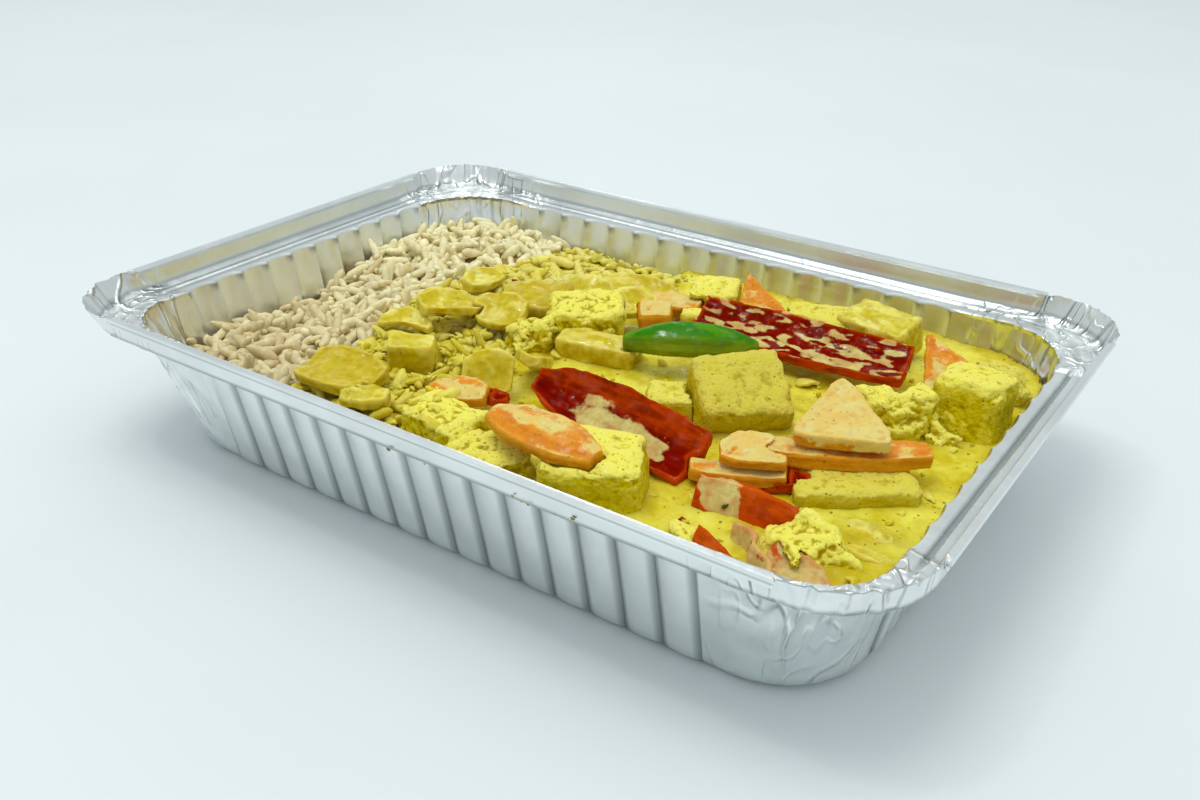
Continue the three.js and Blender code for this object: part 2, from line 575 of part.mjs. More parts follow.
function buildMeal() {
  const meal = new THREE.Group();
  const addMesh = (name, solid, look, smoothing = 0.05) => {
    const material = new THREE.MeshStandardMaterial({ ...look, name });
    const body = largestBody(solid.asOriginal().simplify(smoothing));
    const mesh = new THREE.Mesh(toGeometry(body), material);
    mesh.name = name;
    meal.add(mesh);
  };
  addMesh('foil_tray', traySolid(), FOIL_FINISH);

  const space = foodSpace();
  let taken = null;
  const layers = [
    [carrots(), CARROT_FINISH],
    [peppers(), PEPPER_FINISH],
    [chilli(), CHILLI_FINISH],
    [tofu(), TOFU_FINISH],
    [onions(), ONION_FINISH],
  ];
  for (const [pieces, look] of layers) {
    for (const [name, geometry] of Object.entries(pieces)) {
      const whole = toSolid(geometry).intersect(space);
      addMesh(name, taken ? whole.subtract(taken) : whole, look);
      const claimed = toSolid(grown(geometry, GAP));
      taken = taken ? taken.add(claimed) : claimed;
    }
  }

  const tub = space.subtract(taken.asOriginal().simplify(GAP / 2.5));
  const farLeft = () => -TRAY_LENGTH / 2;
  const farRight = () => TRAY_LENGTH / 2;
  const beyond = (edge) => (y) => edge(y) + GAP;
  const riceCore = bulk(farLeft, riceEdge, GRAIN_SINK, 5).intersect(tub);
  const soakedCore = bulk(beyond(riceEdge), sauceEdge, GRAIN_SINK, 4).intersect(tub);
  const sauce = bulk(beyond(sauceEdge), farRight, 0, 10).intersect(tub);
  const riceGrains = grains(farLeft, riceEdge, GRAIN_SPACING_RICE, 5);
  const soakedGrains = grains(riceEdge, sauceEdge, GRAIN_SPACING_SOAKED, 6);
  const rice = heap(riceCore, riceGrains, space, [taken, soakedCore]);
  const soaked = heap(soakedCore, soakedGrains, space, [taken, rice, sauce]);
  addMesh('brown_rice', rice, RICE_FINISH, GAP / 4);
  addMesh('soaked_rice', soaked, SOAKED_FINISH, GAP / 4);
  addMesh('curry_sauce', sauce, SAUCE_FINISH, GAP / 4);
  return meal;
}

export default buildMeal();
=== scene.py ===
"""Foil tray meal: brown rice and a yellow tofu curry in a pressed foil tray.

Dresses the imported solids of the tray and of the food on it. Lengths are in metres, with
X along the tray, Y across it and the table at z = 0.
"""

import math

import bpy
import numpy as np
from mathutils import Matrix, Vector, noise
from mathutils.bvhtree import BVHTree


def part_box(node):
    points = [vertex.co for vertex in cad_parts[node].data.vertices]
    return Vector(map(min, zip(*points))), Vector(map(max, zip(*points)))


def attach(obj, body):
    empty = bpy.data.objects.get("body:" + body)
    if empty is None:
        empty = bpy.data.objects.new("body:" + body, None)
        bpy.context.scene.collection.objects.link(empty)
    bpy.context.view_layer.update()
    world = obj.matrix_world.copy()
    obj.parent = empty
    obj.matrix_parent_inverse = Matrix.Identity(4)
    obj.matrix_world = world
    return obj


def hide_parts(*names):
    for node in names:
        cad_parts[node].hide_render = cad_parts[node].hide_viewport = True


bl_info = {
    "name": "Foil Tray Meal",
    "version": (1, 0, 0),
    "blender": (4, 5, 0),
    "location": "3D View > Sidebar > Tray Meal",
    "description": "Foil tray, brown rice, yellow curry sauce, tofu and vegetables",
    "category": "Object",
}

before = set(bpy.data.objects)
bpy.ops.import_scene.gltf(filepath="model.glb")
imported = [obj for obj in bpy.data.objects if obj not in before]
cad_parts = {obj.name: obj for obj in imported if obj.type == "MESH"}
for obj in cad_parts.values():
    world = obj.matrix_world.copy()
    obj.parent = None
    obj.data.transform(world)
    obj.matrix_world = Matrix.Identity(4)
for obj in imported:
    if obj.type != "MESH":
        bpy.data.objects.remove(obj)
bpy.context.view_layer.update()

MM = 0.001
BODY = "root"
SWIRL_SEED = 7
ABOVE_ALL = 100 * MM
TRAY_LOW, TRAY_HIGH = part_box("foil_tray")
SAUCE_TOP = 25.2 * MM

# The well of the tray, as the solids have it.
LEDGE_HEIGHT = 33.4 * MM
RIM_TO_MOUTH = 10.4 * MM
MOUTH_HALF = (TRAY_HIGH.x - RIM_TO_MOUTH, TRAY_HIGH.y - RIM_TO_MOUTH)
WALL_TAPER = 7 * MM
BOTTOM_ROUNDING = 2.6 * MM
WELL_RADIUS = 20 * MM
NEAR_SQUARING = 6 * MM
FLUTE_PITCH = (8.97 * MM, 8.87 * MM)
FLUTES = (15, 10)
FLUTED_HALF = tuple(count * pitch / 2 for count, pitch in zip(FLUTES, FLUTE_PITCH))
FLUTE_DEPTH = 1.7 * MM
FLUTE_DEPTH_LOW = 0.9 * MM

CARROTS = ("domed", "wedge", "long", "lobe", "low", "small", "back", "right", "cube", "stick")
PEPPERS = ("back", "front", "strip", "corner", "wedge", "curl", "flake", "bit")
TOFU_CUT = ("large", "front", "right", "under", "small", "back", "between", "slab")
TOFU_TORN = (
    "torn", "rim", "chunk", "left", "crumbled", "wall", "corner", "crumb", "chip",
)
ONIONS = (
    "wedge", "slab", "block", "chunk", "broad", "pointed", "leaning", "round", "upright",
    "petal", "thin", "sheet", "ring", "bit", "near", "end", "sliver", "sunk",
)


def srgb(red, green, blue):
    """Linear colour of a display colour given in 0 to 255."""
    def linear(value):
        share = value / 255
        return share / 12.92 if share <= 0.04045 else ((share + 0.055) / 1.055) ** 2.4

    return (linear(red), linear(green), linear(blue), 1.0)


# ---- sizes and colours that a user may change --------------------------------------------------


def length(name, description, default):
    return bpy.props.FloatProperty(
        name=name, description=description, default=default, unit="LENGTH", precision=5
    )


def colour(name, description, default):
    return bpy.props.FloatVectorProperty(
        name=name, description=description, default=default, size=4, subtype="COLOR",
        min=0.0, max=1.0,
    )


class TraySettings(bpy.types.PropertyGroup):
    foil: length("Foil", "Thickness of the foil", 0.15 * MM)
    pleat_depth: length("Pleats", "Depth of the folds at the corners of the rim", 0.75 * MM)
    crumple: length("Crumple", "Depth of the soft dents at the corners", 0.5 * MM)
    crease: length("Creases", "Depth of the sharp creases in the corners of the wall", 1.0 * MM)
    metal: colour("Metal", "Colour of the foil", srgb(243, 247, 246))
    # Painted shade: the darker metal colour laid into the foil's grooves, folds and hem.
    painted_shade: colour("Dark metal", "Colour of the foil in its grooves and folds", srgb(104, 116, 116))
    roughness: bpy.props.FloatProperty(
        name="Roughness", description="Dullness of the foil", default=0.31, min=0, max=1
    )


class RiceSettings(bpy.types.PropertyGroup):
    grain_length: length("Grain length", "Length of a cooked grain", 7.9 * MM)
    grain_width: length("Grain width", "Width of a cooked grain", 2.7 * MM)
    spacing: length("Spacing", "Distance between grains of one layer", 4.1 * MM)
    pale: colour("Pale grain", "Colour of the palest grains", srgb(250, 240, 192))
    tan: colour("Tan grain", "Colour of the brownest grains", srgb(206, 184, 136))
    soaked: colour("Soaked grain", "Colour of the grains that took up sauce", srgb(234, 222, 118))


class SauceSettings(bpy.types.PropertyGroup):
    climb: length("Climb", "How far the sauce climbs where it touches something", 1.1 * MM)
    film: length("Film", "Thickness of the sauce left on the pieces", 0.25 * MM)
    light: colour("Light", "Colour of thin, creamy sauce", srgb(238, 231, 88))
    deep: colour("Deep", "Colour of pooled sauce", srgb(208, 190, 24))
    # Gold is also painted shade: it darkens the sauce by the wall, round the pieces and in the dips
    # of pieces.
    gold_and_shade: colour("Gold", "Colour of sauce gathered in crevices", srgb(170, 142, 0))


class ToppingSettings(bpy.types.PropertyGroup):
    # The tofu's tops are painted lighter and its sides darker: partly painted light and shade,
    # partly sauce soaked into the sides.
    tofu: colour("Tofu", "Colour of the tops of the tofu", srgb(238, 228, 100))
    soaked_and_shaded: colour("Stained tofu", "Colour of the tofu's soaked sides", srgb(214, 196, 2))
    carrot: colour("Carrot", "Colour of the carrot", srgb(218, 150, 10))
    pepper: colour("Red pepper", "Colour of the red pepper's skin", srgb(136, 14, 0))
    flesh: colour("Pepper flesh", "Colour of the cut edges of the pepper", srgb(206, 74, 8))
    chilli: colour("Green chilli", "Colour of the chilli's skin", srgb(54, 130, 0))
    onion: colour("Onion", "Colour of the soft onion", srgb(206, 184, 2))


class StageSettings(bpy.types.PropertyGroup):
    floor: colour("Floor", "Colour of the floor", srgb(226, 233, 234))
    key_power: bpy.props.FloatProperty(
        name="Key light", description="Power of the large soft light", default=11, unit="POWER"
    )
    sky: bpy.props.FloatProperty(
        name="Sky", description="Strength of the light from all round", default=0.74, min=0
    )
    focal_length: bpy.props.FloatProperty(
        name="Focal length", description="Of the camera, in millimetres", default=35.56
    )


# ---- helpers: objects --------------------------------------------------------------------------


def select_only(piece):
    bpy.ops.object.select_all(action="DESELECT")
    piece.select_set(True)
    bpy.context.view_layer.objects.active = piece


def new_piece(name, mesh):
    piece = bpy.data.objects.new(name, mesh)
    bpy.context.scene.collection.objects.link(piece)
    select_only(piece)
    return piece


def shaped(piece, kind, **values):
    """Adds a modifier to the piece and applies it."""
    modifier = piece.modifiers.new(kind.title(), kind)
    for key, value in values.items():
        setattr(modifier, key, value)
    select_only(piece)
    bpy.ops.object.modifier_apply(modifier=modifier.name)


def merge_doubles(piece, distance=0.01 * MM):
    select_only(piece)
    bpy.ops.object.mode_set(mode="EDIT")
    bpy.ops.mesh.select_all(action="SELECT")
    bpy.ops.mesh.remove_doubles(threshold=distance)
    bpy.ops.object.mode_set(mode="OBJECT")


def copy_of(node, name):
    """A merged copy of a solid of the frame, free to be shaped."""
    piece = new_piece(name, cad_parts[node].data.copy())
    piece.data.materials.clear()
    merge_doubles(piece)
    return piece


def points_of(piece):
    points = np.empty(len(piece.data.vertices) * 3)
    piece.data.vertices.foreach_get("co", points)
    return points.reshape(-1, 3)


def normals_of(piece):
    normals = np.empty(len(piece.data.vertices) * 3)
    piece.data.vertices.foreach_get("normal", normals)
    return normals.reshape(-1, 3)


def set_points(piece, points):
    piece.data.vertices.foreach_set("co", np.ascontiguousarray(points, dtype=float).ravel())
    piece.data.update()


def set_attribute(piece, name, values):
    """Stores a number, or a row of three, on every vertex."""
    values = np.ascontiguousarray(values, dtype=np.float32)
    kind, key = ("FLOAT", "value") if values.ndim == 1 else ("FLOAT_VECTOR", "vector")
    attribute = piece.data.attributes.new(name, kind, "POINT")
    attribute.data.foreach_set(key, values.ravel())


def tree_of(*pieces):
    """A search tree over the faces of some objects."""
    points, faces = [], []
    for piece in pieces:
        start = len(points)
        points.extend(vertex.co.copy() for vertex in piece.data.vertices)
        faces.extend([start + i for i in face.vertices] for face in piece.data.polygons)
    return BVHTree.FromPolygons(points, faces)


def look_down(tree, x, y):
    """Where the tree is first met from above, and the way it faces there, or two Nones."""
    return tree.ray_cast(Vector((x, y, ABOVE_ALL)), Vector((0, 0, -1)))[:2]


def bulge(piece, size, strength):
    """Moves the surface in and out by a cloud pattern of the given size."""
    texture = bpy.data.textures.new(f"{piece.name}_relief", "CLOUDS")
    texture.noise_scale = size
    texture.noise_depth = 2
    shaped(piece, "DISPLACE", texture=texture, texture_coords="LOCAL", strength=strength,
           mid_level=0.5)


def face_outward(piece):
    """Turns the faces over where the closed mesh is inside out."""
    piece.data.calc_loop_triangles()
    corners = np.empty(len(piece.data.loop_triangles) * 3, dtype=int)
    piece.data.loop_triangles.foreach_get("vertices", corners)
    a, b, c = points_of(piece)[corners.reshape(-1, 3)].transpose(1, 0, 2)
    if np.einsum("ij,ij->", a, np.cross(b, c)) < 0:
        piece.data.flip_normals()


def spread(piece, values, rounds):
    """Evens values out over the mesh, a row of them to each vertex."""
    edges = np.empty(len(piece.data.edges) * 2, dtype=int)
    piece.data.edges.foreach_get("vertices", edges)
    first, second = edges.reshape(-1, 2).T
    count = len(values)
    links = np.bincount(edges, minlength=count)
    for _ in range(rounds):
        values = np.column_stack([
            (np.bincount(first, column[second], count)
             + np.bincount(second, column[first], count)) / links
            for column in values.T
        ])
    return values


def hollowness(piece, rounds, depth):
    """How deep each vertex lies in a dip, from -1 on a ridge to 1 in a crevice."""
    points = points_of(piece)
    below = spread(piece, points, rounds) - points
    return np.clip(np.einsum("ij,ij->i", below, normals_of(piece)) / depth, -1, 1)


def lengthwise(points):
    """The points measured along the piece, across it and upward from its middle."""
    centred = points - points.mean(axis=0)
    _, directions = np.linalg.eigh(np.cov(centred[:, :2].T))
    directions = directions * np.where(directions[0] < 0, -1, 1)
    along, across = centred[:, :2] @ directions[:, 1], centred[:, :2] @ directions[:, 0]
    return np.column_stack([along, across, centred[:, 2]])


def smooth_faces(piece):
    piece.data.polygons.foreach_set("use_smooth", [True] * len(piece.data.polygons))


def finish_piece(piece, material, node):
    """Gives a piece its material, says what it belongs to and hides the solid that it dresses."""
    piece.data.materials.clear()
    piece.data.materials.append(material)
    smooth_faces(piece)
    piece.data.update()
    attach(piece, BODY)
    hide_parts(node)


def smoothstep(low, high, value):
    share = np.clip((value - low) / (high - low), 0, 1)
    return share * share * (3 - 2 * share)


def field(points, size, seed=0.0):
    """A smooth random field between about -1 and 1, with bumps of the given size."""
    scaled = points / size + seed
    return np.array([noise.noise(Vector(point)) for point in scaled])


def creases(points, size, seed=0.0):
    """A random field of flat-sided hollows with sharp ridges between them."""
    return 1 - 2 * np.abs(field(points, size, seed))


# ---- helpers: node trees -----------------------------------------------------------------------


def add_node(tree, kind, sockets=None, **settings):
    node = tree.nodes.new(kind)
    for key, value in settings.items():
        setattr(node, key, value)
    for key, value in (sockets or {}).items():
        if isinstance(value, bpy.types.NodeSocket):
            tree.links.new(value, node.inputs[key])
        else:
            node.inputs[key].default_value = value
    return node


def math_node(tree, operation, first, second=0.0, clamp=False):
    node = add_node(tree, "ShaderNodeMath", {0: first, 1: second}, operation=operation,
                    use_clamp=clamp)
    return node.outputs[0]


def remap(tree, value, low, high, to_low=0.0, to_high=1.0):
    node = add_node(tree, "ShaderNodeMapRange", {
        "Value": value, "From Min": low, "From Max": high, "To Min": to_low, "To Max": to_high,
    }, interpolation_type="SMOOTHSTEP")
    return node.outputs["Result"]


def mix_colours(tree, share, first, second, blend="MIX"):
    node = add_node(tree, "ShaderNodeMix", {0: share, 6: first, 7: second}, data_type="RGBA",
                    blend_type=blend)
    return node.outputs[2]


def noise_node(tree, vector, scale, detail=3.0, roughness=0.5):
    node = add_node(tree, "ShaderNodeTexNoise", {
        "Vector": vector, "Scale": scale, "Detail": detail, "Roughness": roughness,
    })
    return node.outputs["Fac"]


def new_group(name, inputs, outputs):
    """A shader node group with its sockets, and its input and output nodes."""
    group = bpy.data.node_groups.new(name, "ShaderNodeTree")
    for socket, kind, default in inputs:
        made = group.interface.new_socket(socket, in_out="INPUT", socket_type=kind)
        if default is not None:
            made.default_value = default
    for socket, kind in outputs:
        group.interface.new_socket(socket, in_out="OUTPUT", socket_type=kind)
    start = group.nodes.new("NodeGroupInput")
    end = group.nodes.new("NodeGroupOutput")
    return group, start, end


def specks_group():
    """Small dark specks of spice, scattered unevenly."""
    group, start, end = new_group("Spice Specks", [
        ("Vector", "NodeSocketVector", None),
        ("Spacing", "NodeSocketFloat", 300.0),
        ("Size", "NodeSocketFloat", 0.14),
        ("Share", "NodeSocketFloat", 0.3),
    ], [("Mask", "NodeSocketFloat")])
    cells = add_node(group, "ShaderNodeTexVoronoi", {
        "Vector": start.outputs["Vector"], "Scale": start.outputs["Spacing"], "Randomness": 1.0,
    })
    near = math_node(group, "LESS_THAN", cells.outputs["Distance"], start.outputs["Size"])
    draw = add_node(group, "ShaderNodeSeparateColor", {"Color": cells.outputs["Color"]})
    chosen = math_node(group, "LESS_THAN", draw.outputs[0], start.outputs["Share"])
    group.links.new(math_node(group, "MULTIPLY", near, chosen), end.inputs["Mask"])
    return group


def mottle_group():
    """Two colours blended in soft clouds."""
    group, start, end = new_group("Mottle", [
        ("Vector", "NodeSocketVector", None),
        ("Scale", "NodeSocketFloat", 100.0),
        ("First", "NodeSocketColor", (1, 1, 1, 1)),
        ("Second", "NodeSocketColor", (0.5, 0.5, 0.5, 1)),
    ], [("Color", "NodeSocketColor"), ("Mask", "NodeSocketFloat")])
    waves = noise_node(group, start.outputs["Vector"], start.outputs["Scale"], 4.0, 0.6)
    mask = remap(group, waves, 0.36, 0.66)
    blend = mix_colours(group, mask, start.outputs["First"], start.outputs["Second"])
    group.links.new(blend, end.inputs["Color"])
    group.links.new(mask, end.inputs["Mask"])
    return group


def film_group():
    """Where a film of sauce lies: the piece's own film attribute with a ragged edge."""
    group, start, end = new_group("Sauce Film", [
        ("Vector", "NodeSocketVector", None),
        ("Film", "NodeSocketFloat", 0.0),
        ("Ragged", "NodeSocketFloat", 0.35),
        ("Scale", "NodeSocketFloat", 700.0),
    ], [("Mask", "NodeSocketFloat")])
    tear = noise_node(group, start.outputs["Vector"], start.outputs["Scale"], 4.0, 0.6)
    centred = math_node(group, "SUBTRACT", tear, 0.5)
    shift = math_node(group, "MULTIPLY", centred, start.outputs["Ragged"])
    total = math_node(group, "ADD", start.outputs["Film"], math_node(group, "MULTIPLY", shift, 2.0))
    group.links.new(remap(group, total, 0.35, 0.6), end.inputs["Mask"])
    return group


def crumb_group():
    """Height of a fine crumbly surface: grains over soft lumps."""
    group, start, end = new_group("Crumb Relief", [
        ("Vector", "NodeSocketVector", None),
        ("Scale", "NodeSocketFloat", 500.0),
        ("Grain", "NodeSocketFloat", 0.5),
    ], [("Height", "NodeSocketFloat")])
    lumps = noise_node(group, start.outputs["Vector"], start.outputs["Scale"], 5.0, 0.6)
    fine = add_node(group, "ShaderNodeTexVoronoi", {
        "Vector": start.outputs["Vector"],
        "Scale": math_node(group, "MULTIPLY", start.outputs["Scale"], 2.5),
    })
    grain = math_node(group, "MULTIPLY", fine.outputs["Distance"], start.outputs["Grain"])
    group.links.new(math_node(group, "ADD", lumps, grain), end.inputs["Height"])
    return group


def damp_group():
    """How wet the surface is, in small patches from nearly dry to wet."""
    group, start, end = new_group("Wet Patches", [
        ("Vector", "NodeSocketVector", None),
        ("Scale", "NodeSocketFloat", 330.0),
        ("Dry", "NodeSocketFloat", 0.02),
        ("Wet", "NodeSocketFloat", 0.4),
    ], [("Weight", "NodeSocketFloat")])
    waves = noise_node(group, start.outputs["Vector"], start.outputs["Scale"], 2.0, 0.6)
    weight = remap(group, waves, 0.52, 0.65, start.outputs["Dry"], start.outputs["Wet"])
    group.links.new(weight, end.inputs["Weight"])
    return group


def fibre_group():
    """Fibres drawn out along one direction of the place that they are given."""
    group, start, end = new_group("Fibres", [
        ("Vector", "NodeSocketVector", None),
        ("Stretch", "NodeSocketVector", (60.0, 400.0, 400.0)),
    ], [("Mask", "NodeSocketFloat")])
    drawn = add_node(group, "ShaderNodeMapping", {
        "Vector": start.outputs["Vector"], "Scale": start.outputs["Stretch"],
    })
    veins = noise_node(group, drawn.outputs["Vector"], 1.0, 3.0, 0.55)
    group.links.new(veins, end.inputs["Mask"])
    return group


GROUPS = {}


def shared(name, builder):
    """A node group that is built once and used by several materials."""
    if name not in GROUPS:
        GROUPS[name] = builder()
    return GROUPS[name]


class Finish:
    """A material under construction."""

    def __init__(self, name, **shader):
        self.material = bpy.data.materials.new(name)
        self.material.use_nodes = True
        self.tree = self.material.node_tree
        self.tree.nodes.clear()
        output = self.tree.nodes.new("ShaderNodeOutputMaterial")
        self.shader = add_node(self.tree, "ShaderNodeBsdfPrincipled", shader)
        self.tree.links.new(self.shader.outputs["BSDF"], output.inputs["Surface"])
        self.place = self.tree.nodes.new("ShaderNodeTexCoord").outputs["Object"]

    def use(self, name, builder, output, **sockets):
        group = self.tree.nodes.new("ShaderNodeGroup")
        group.node_tree = shared(name, builder)
        for key, value in {"Vector": self.place, **sockets}.items():
            if isinstance(value, bpy.types.NodeSocket):
                self.tree.links.new(value, group.inputs[key])
            else:
                group.inputs[key].default_value = value
        return group.outputs[output]

    def attribute(self, name):
        return add_node(self.tree, "ShaderNodeAttribute", attribute_name=name).outputs["Fac"]

    def stretched(self, scale):
        node = add_node(self.tree, "ShaderNodeMapping", {"Vector": self.place, "Scale": scale})
        return node.outputs["Vector"]

    def own_place(self):
        """Place along, across and up the piece itself."""
        node = add_node(self.tree, "ShaderNodeAttribute", attribute_name="local")
        return node.outputs["Vector"]

    def speckled(self, colour, specks, amount, strength):
        """The colour with specks of spice over it."""
        for spacing, size, share, tint in specks:
            mask = self.use("Spice Specks", specks_group, "Mask", Spacing=spacing, Size=size,
                            Share=amount * share)
            share = math_node(self.tree, "MULTIPLY", mask, strength)
            colour = mix_colours(self.tree, share, colour, tint)
        return colour

    def feed(self, socket, value):
        self.tree.links.new(value, self.shader.inputs[socket])

    def bump(self, height, distance, strength=1.0):
        relief = add_node(self.tree, "ShaderNodeBump", {
            "Height": height, "Distance": distance, "Strength": strength,
        })
        self.feed("Normal", relief.outputs["Normal"])


# ---- materials ---------------------------------------------------------------------------------


# Families of fold lines in the foil: how they are stretched, how thin and how high they are.
FOLD_LINES = (
    ((85.0, 85.0, 26.0), 0.04, 0.75),
    ((190.0, 150.0, 60.0), 0.05, 0.35),
    ((70.0, 70.0, 70.0), 0.4, 1.6),
)
# Specks of spice: how closely they are spaced, their size, the share that shows and their colour.
POOL_SPECKS = (
    (700.0, 0.17, 0.35, srgb(128, 108, 16)),
    (420.0, 0.15, 0.25, srgb(96, 80, 12)),
    (120.0, 0.13, 0.2, srgb(150, 140, 30)),
)
PIECE_SPECKS = (
    (520.0, 0.14, 1.0, srgb(90, 74, 10)),
    (900.0, 0.2, 1.6, srgb(150, 128, 14)),
)


def scaled(colour, share):
    """The colour made darker or lighter, up to white."""
    return tuple(min(1.0, share * value) for value in colour[:3]) + (1.0,)


def foil_material(settings):
    finish = Finish("foil", Metallic=1.0, Roughness=settings.roughness)
    tree = finish.tree
    cloudy = finish.use("Mottle", mottle_group, "Color", Scale=45.0,
                        First=tuple(settings.metal), Second=scaled(settings.metal, 0.9))
    # Painted shade: the metal is darkened in the grooves, folds and hem by the attribute read here.
    groove = math_node(tree, "MULTIPLY", finish.attribute("groove"), 0.85)
    finish.feed("Base Color", mix_colours(tree, groove, cloudy, tuple(settings.painted_shade)))
    rolled = noise_node(tree, finish.stretched((30.0, 500.0, 500.0)), 1.0, 2.0, 0.5)
    rough = remap(tree, rolled, 0.3, 0.7, settings.roughness - 0.02, settings.roughness + 0.06)
    finish.feed("Roughness", rough)
    height = math_node(tree, "MULTIPLY", noise_node(tree, finish.place, 70.0, 1.0, 0.5), 0.1)
    for stretch, width, share in FOLD_LINES:
        wave = noise_node(tree, finish.stretched(stretch), 1.0, 1.0, 0.4)
        off = math_node(tree, "ABSOLUTE", math_node(tree, "SUBTRACT", wave, 0.5))
        line = remap(tree, off, 0.0, width, share, 0.0)
        fold = math_node(tree, "MULTIPLY", line, finish.attribute("crumple"))
        height = math_node(tree, "ADD", height, fold)
    finish.bump(height, 0.8 * MM, 1.0)
    return finish.material


def grain_material(name, pale, tan, roughness):
    """Grains and crumbs, each with a tone between two colours, and paler and darker spots."""
    finish = Finish(name, **{
        "Roughness": roughness, "Subsurface Weight": 0.35, "Subsurface Scale": 1.2 * MM,
        "Subsurface Radius": (1.0, 0.75, 0.4), "Specular IOR Level": 0.2,
    })
    tree = finish.tree
    tone = finish.attribute("tone")
    base = mix_colours(tree, tone, pale, tan)
    burst = finish.use("Mottle", mottle_group, "Mask", Scale=310.0)
    base = mix_colours(tree, math_node(tree, "MULTIPLY", burst, 0.3), base, scaled(pale, 1.12))
    spotty = finish.use("Mottle", mottle_group, "Mask", Scale=520.0)
    base = mix_colours(tree, math_node(tree, "MULTIPLY", spotty, 0.3), base, scaled(tan, 0.72))
    finish.feed("Base Color", base)
    relief = finish.use("Crumb Relief", crumb_group, "Height", Scale=400.0, Grain=0.1)
    finish.bump(relief, 0.2 * MM, 0.35)
    return finish.material


def sauce_material(settings):
    finish = Finish("curry_sauce", **{
        "Roughness": 0.3, "Subsurface Weight": 0.2, "Subsurface Scale": 2.0 * MM,
        "Subsurface Radius": (1.0, 0.8, 0.2), "Specular IOR Level": 0.05, "Coat Roughness": 0.1,
    })
    tree = finish.tree
    base = finish.use("Mottle", mottle_group, "Color", Scale=110.0,
                      First=tuple(settings.light), Second=tuple(settings.deep))
    oil = finish.use("Mottle", mottle_group, "Mask", Scale=300.0)
    gold_and_shade = tuple(settings.gold_and_shade)
    base = mix_colours(tree, math_node(tree, "MULTIPLY", oil, 0.14), base, gold_and_shade)
    # Painted shade: darker gold where the sauce meets the wall and the pieces and in the low parts
    # of its waves, partly sauce gathered there.
    edge = math_node(tree, "MULTIPLY", finish.attribute("edge"), 0.8, clamp=True)
    base = mix_colours(tree, edge, base, gold_and_shade)
    finish.feed("Base Color", finish.speckled(base, POOL_SPECKS, 1.0, 0.7))
    finish.feed("Roughness", remap(tree, oil, 0.0, 1.0, 0.38, 0.2))
    finish.feed("Coat Weight", finish.use("Wet Patches", damp_group, "Weight", Scale=180.0,
                                          Dry=0.02, Wet=0.4))
    relief = finish.use("Crumb Relief", crumb_group, "Height", Scale=230.0, Grain=0.15)
    finish.bump(relief, 0.7 * MM, 0.55)
    return finish.material


def coated_material(name, top, side, deep_and_shade, film, roughness=0.35, subsurface=0.15, crumb=0.5,
                    scale=420.0, specks=0.2, film_share=1.0, fibre=None, gloss=0.05,
                    wet=0.5, vein=0.45, hollow=0.85, rim=None, rim_share=0.6):
    """A piece of food with a film of sauce, of two colours, over its own colours.

    The piece's attributes say where it faces up, where it dips, where the film lies and how
    dark the whole piece is. The dips take the deep colour as painted shade, partly sauce
    gathered in them. A rim colour on its ridges is a painted highlight, and on the peppers the
    colour of their cut flesh. A fibre draws out its veins.
    """
    finish = Finish(name, **{
        "Subsurface Weight": subsurface, "Subsurface Scale": 1.2 * MM,
        "Subsurface Radius": (1.0, 0.7, 0.25), "Specular IOR Level": gloss,
        "Coat Roughness": 0.12,
    })
    tree = finish.tree
    deep_and_shade = tuple(deep_and_shade)
    finish.feed("Coat Weight", finish.use("Wet Patches", damp_group, "Weight", Scale=330.0,
                                          Dry=0.02 * wet, Wet=0.6 * wet))
    # Lighter where the piece faces up, its side colour below: on the tofu partly painted light and
    # shade.
    own = mix_colours(tree, finish.attribute("up"), tuple(side), tuple(top))
    clouded = finish.use("Mottle", mottle_group, "Mask", Scale=190.0)
    own = mix_colours(tree, math_node(tree, "MULTIPLY", clouded, 0.2), own, deep_and_shade)
    height = finish.use("Crumb Relief", crumb_group, "Height", Scale=scale, Grain=crumb)
    if fibre:
        veins = finish.use("Fibres", fibre_group, "Mask", Vector=finish.own_place(),
                           Stretch=fibre)
        own = mix_colours(tree, remap(tree, veins, 0.42, 0.62, 0.0, vein), own, deep_and_shade)
        height = math_node(tree, "ADD", height, math_node(tree, "MULTIPLY", veins, 1.4))
    mask = finish.use("Sauce Film", film_group, "Mask", Film=finish.attribute("film"))
    creamy = finish.use("Mottle", mottle_group, "Color", Scale=230.0, First=tuple(film[0]),
                        Second=tuple(film[1]))
    both = mix_colours(tree, math_node(tree, "MULTIPLY", mask, film_share), own, creamy)
    # Painted shade: the deep colour in the piece's dips, partly sauce gathered there.
    dip = math_node(tree, "MULTIPLY", finish.attribute("dip"), hollow, clamp=True)
    both = mix_colours(tree, dip, both, deep_and_shade)
    # Painted highlight along the ridges; on the peppers the rim is also the colour of their cut
    # flesh.
    if rim:
        ridge = math_node(tree, "MULTIPLY", finish.attribute("dip"), -rim_share, clamp=True)
        both = mix_colours(tree, ridge, both, tuple(rim))
    both = mix_colours(tree, finish.attribute("tone"), both, deep_and_shade)
    finish.feed("Base Color", finish.speckled(both, PIECE_SPECKS, specks, 0.65))
    finish.feed("Roughness", remap(tree, mask, 0.0, 1.0, roughness, roughness + 0.1))
    finish.bump(height, 0.45 * MM, 0.6)
    return finish.material


def floor_material(settings):
    finish = Finish("floor", Roughness=0.55)
    tree = finish.tree
    soft = finish.use("Mottle", mottle_group, "Color", Scale=4.0, First=tuple(settings.floor),
                      Second=scaled(settings.floor, 0.97))
    finish.feed("Base Color", soft)
    paper = noise_node(tree, finish.place, 900.0, 2.0)
    finish.bump(paper, 0.05 * MM, 0.2)
    return finish.material


# ---- the well of the tray ----------------------------------------------------------------------


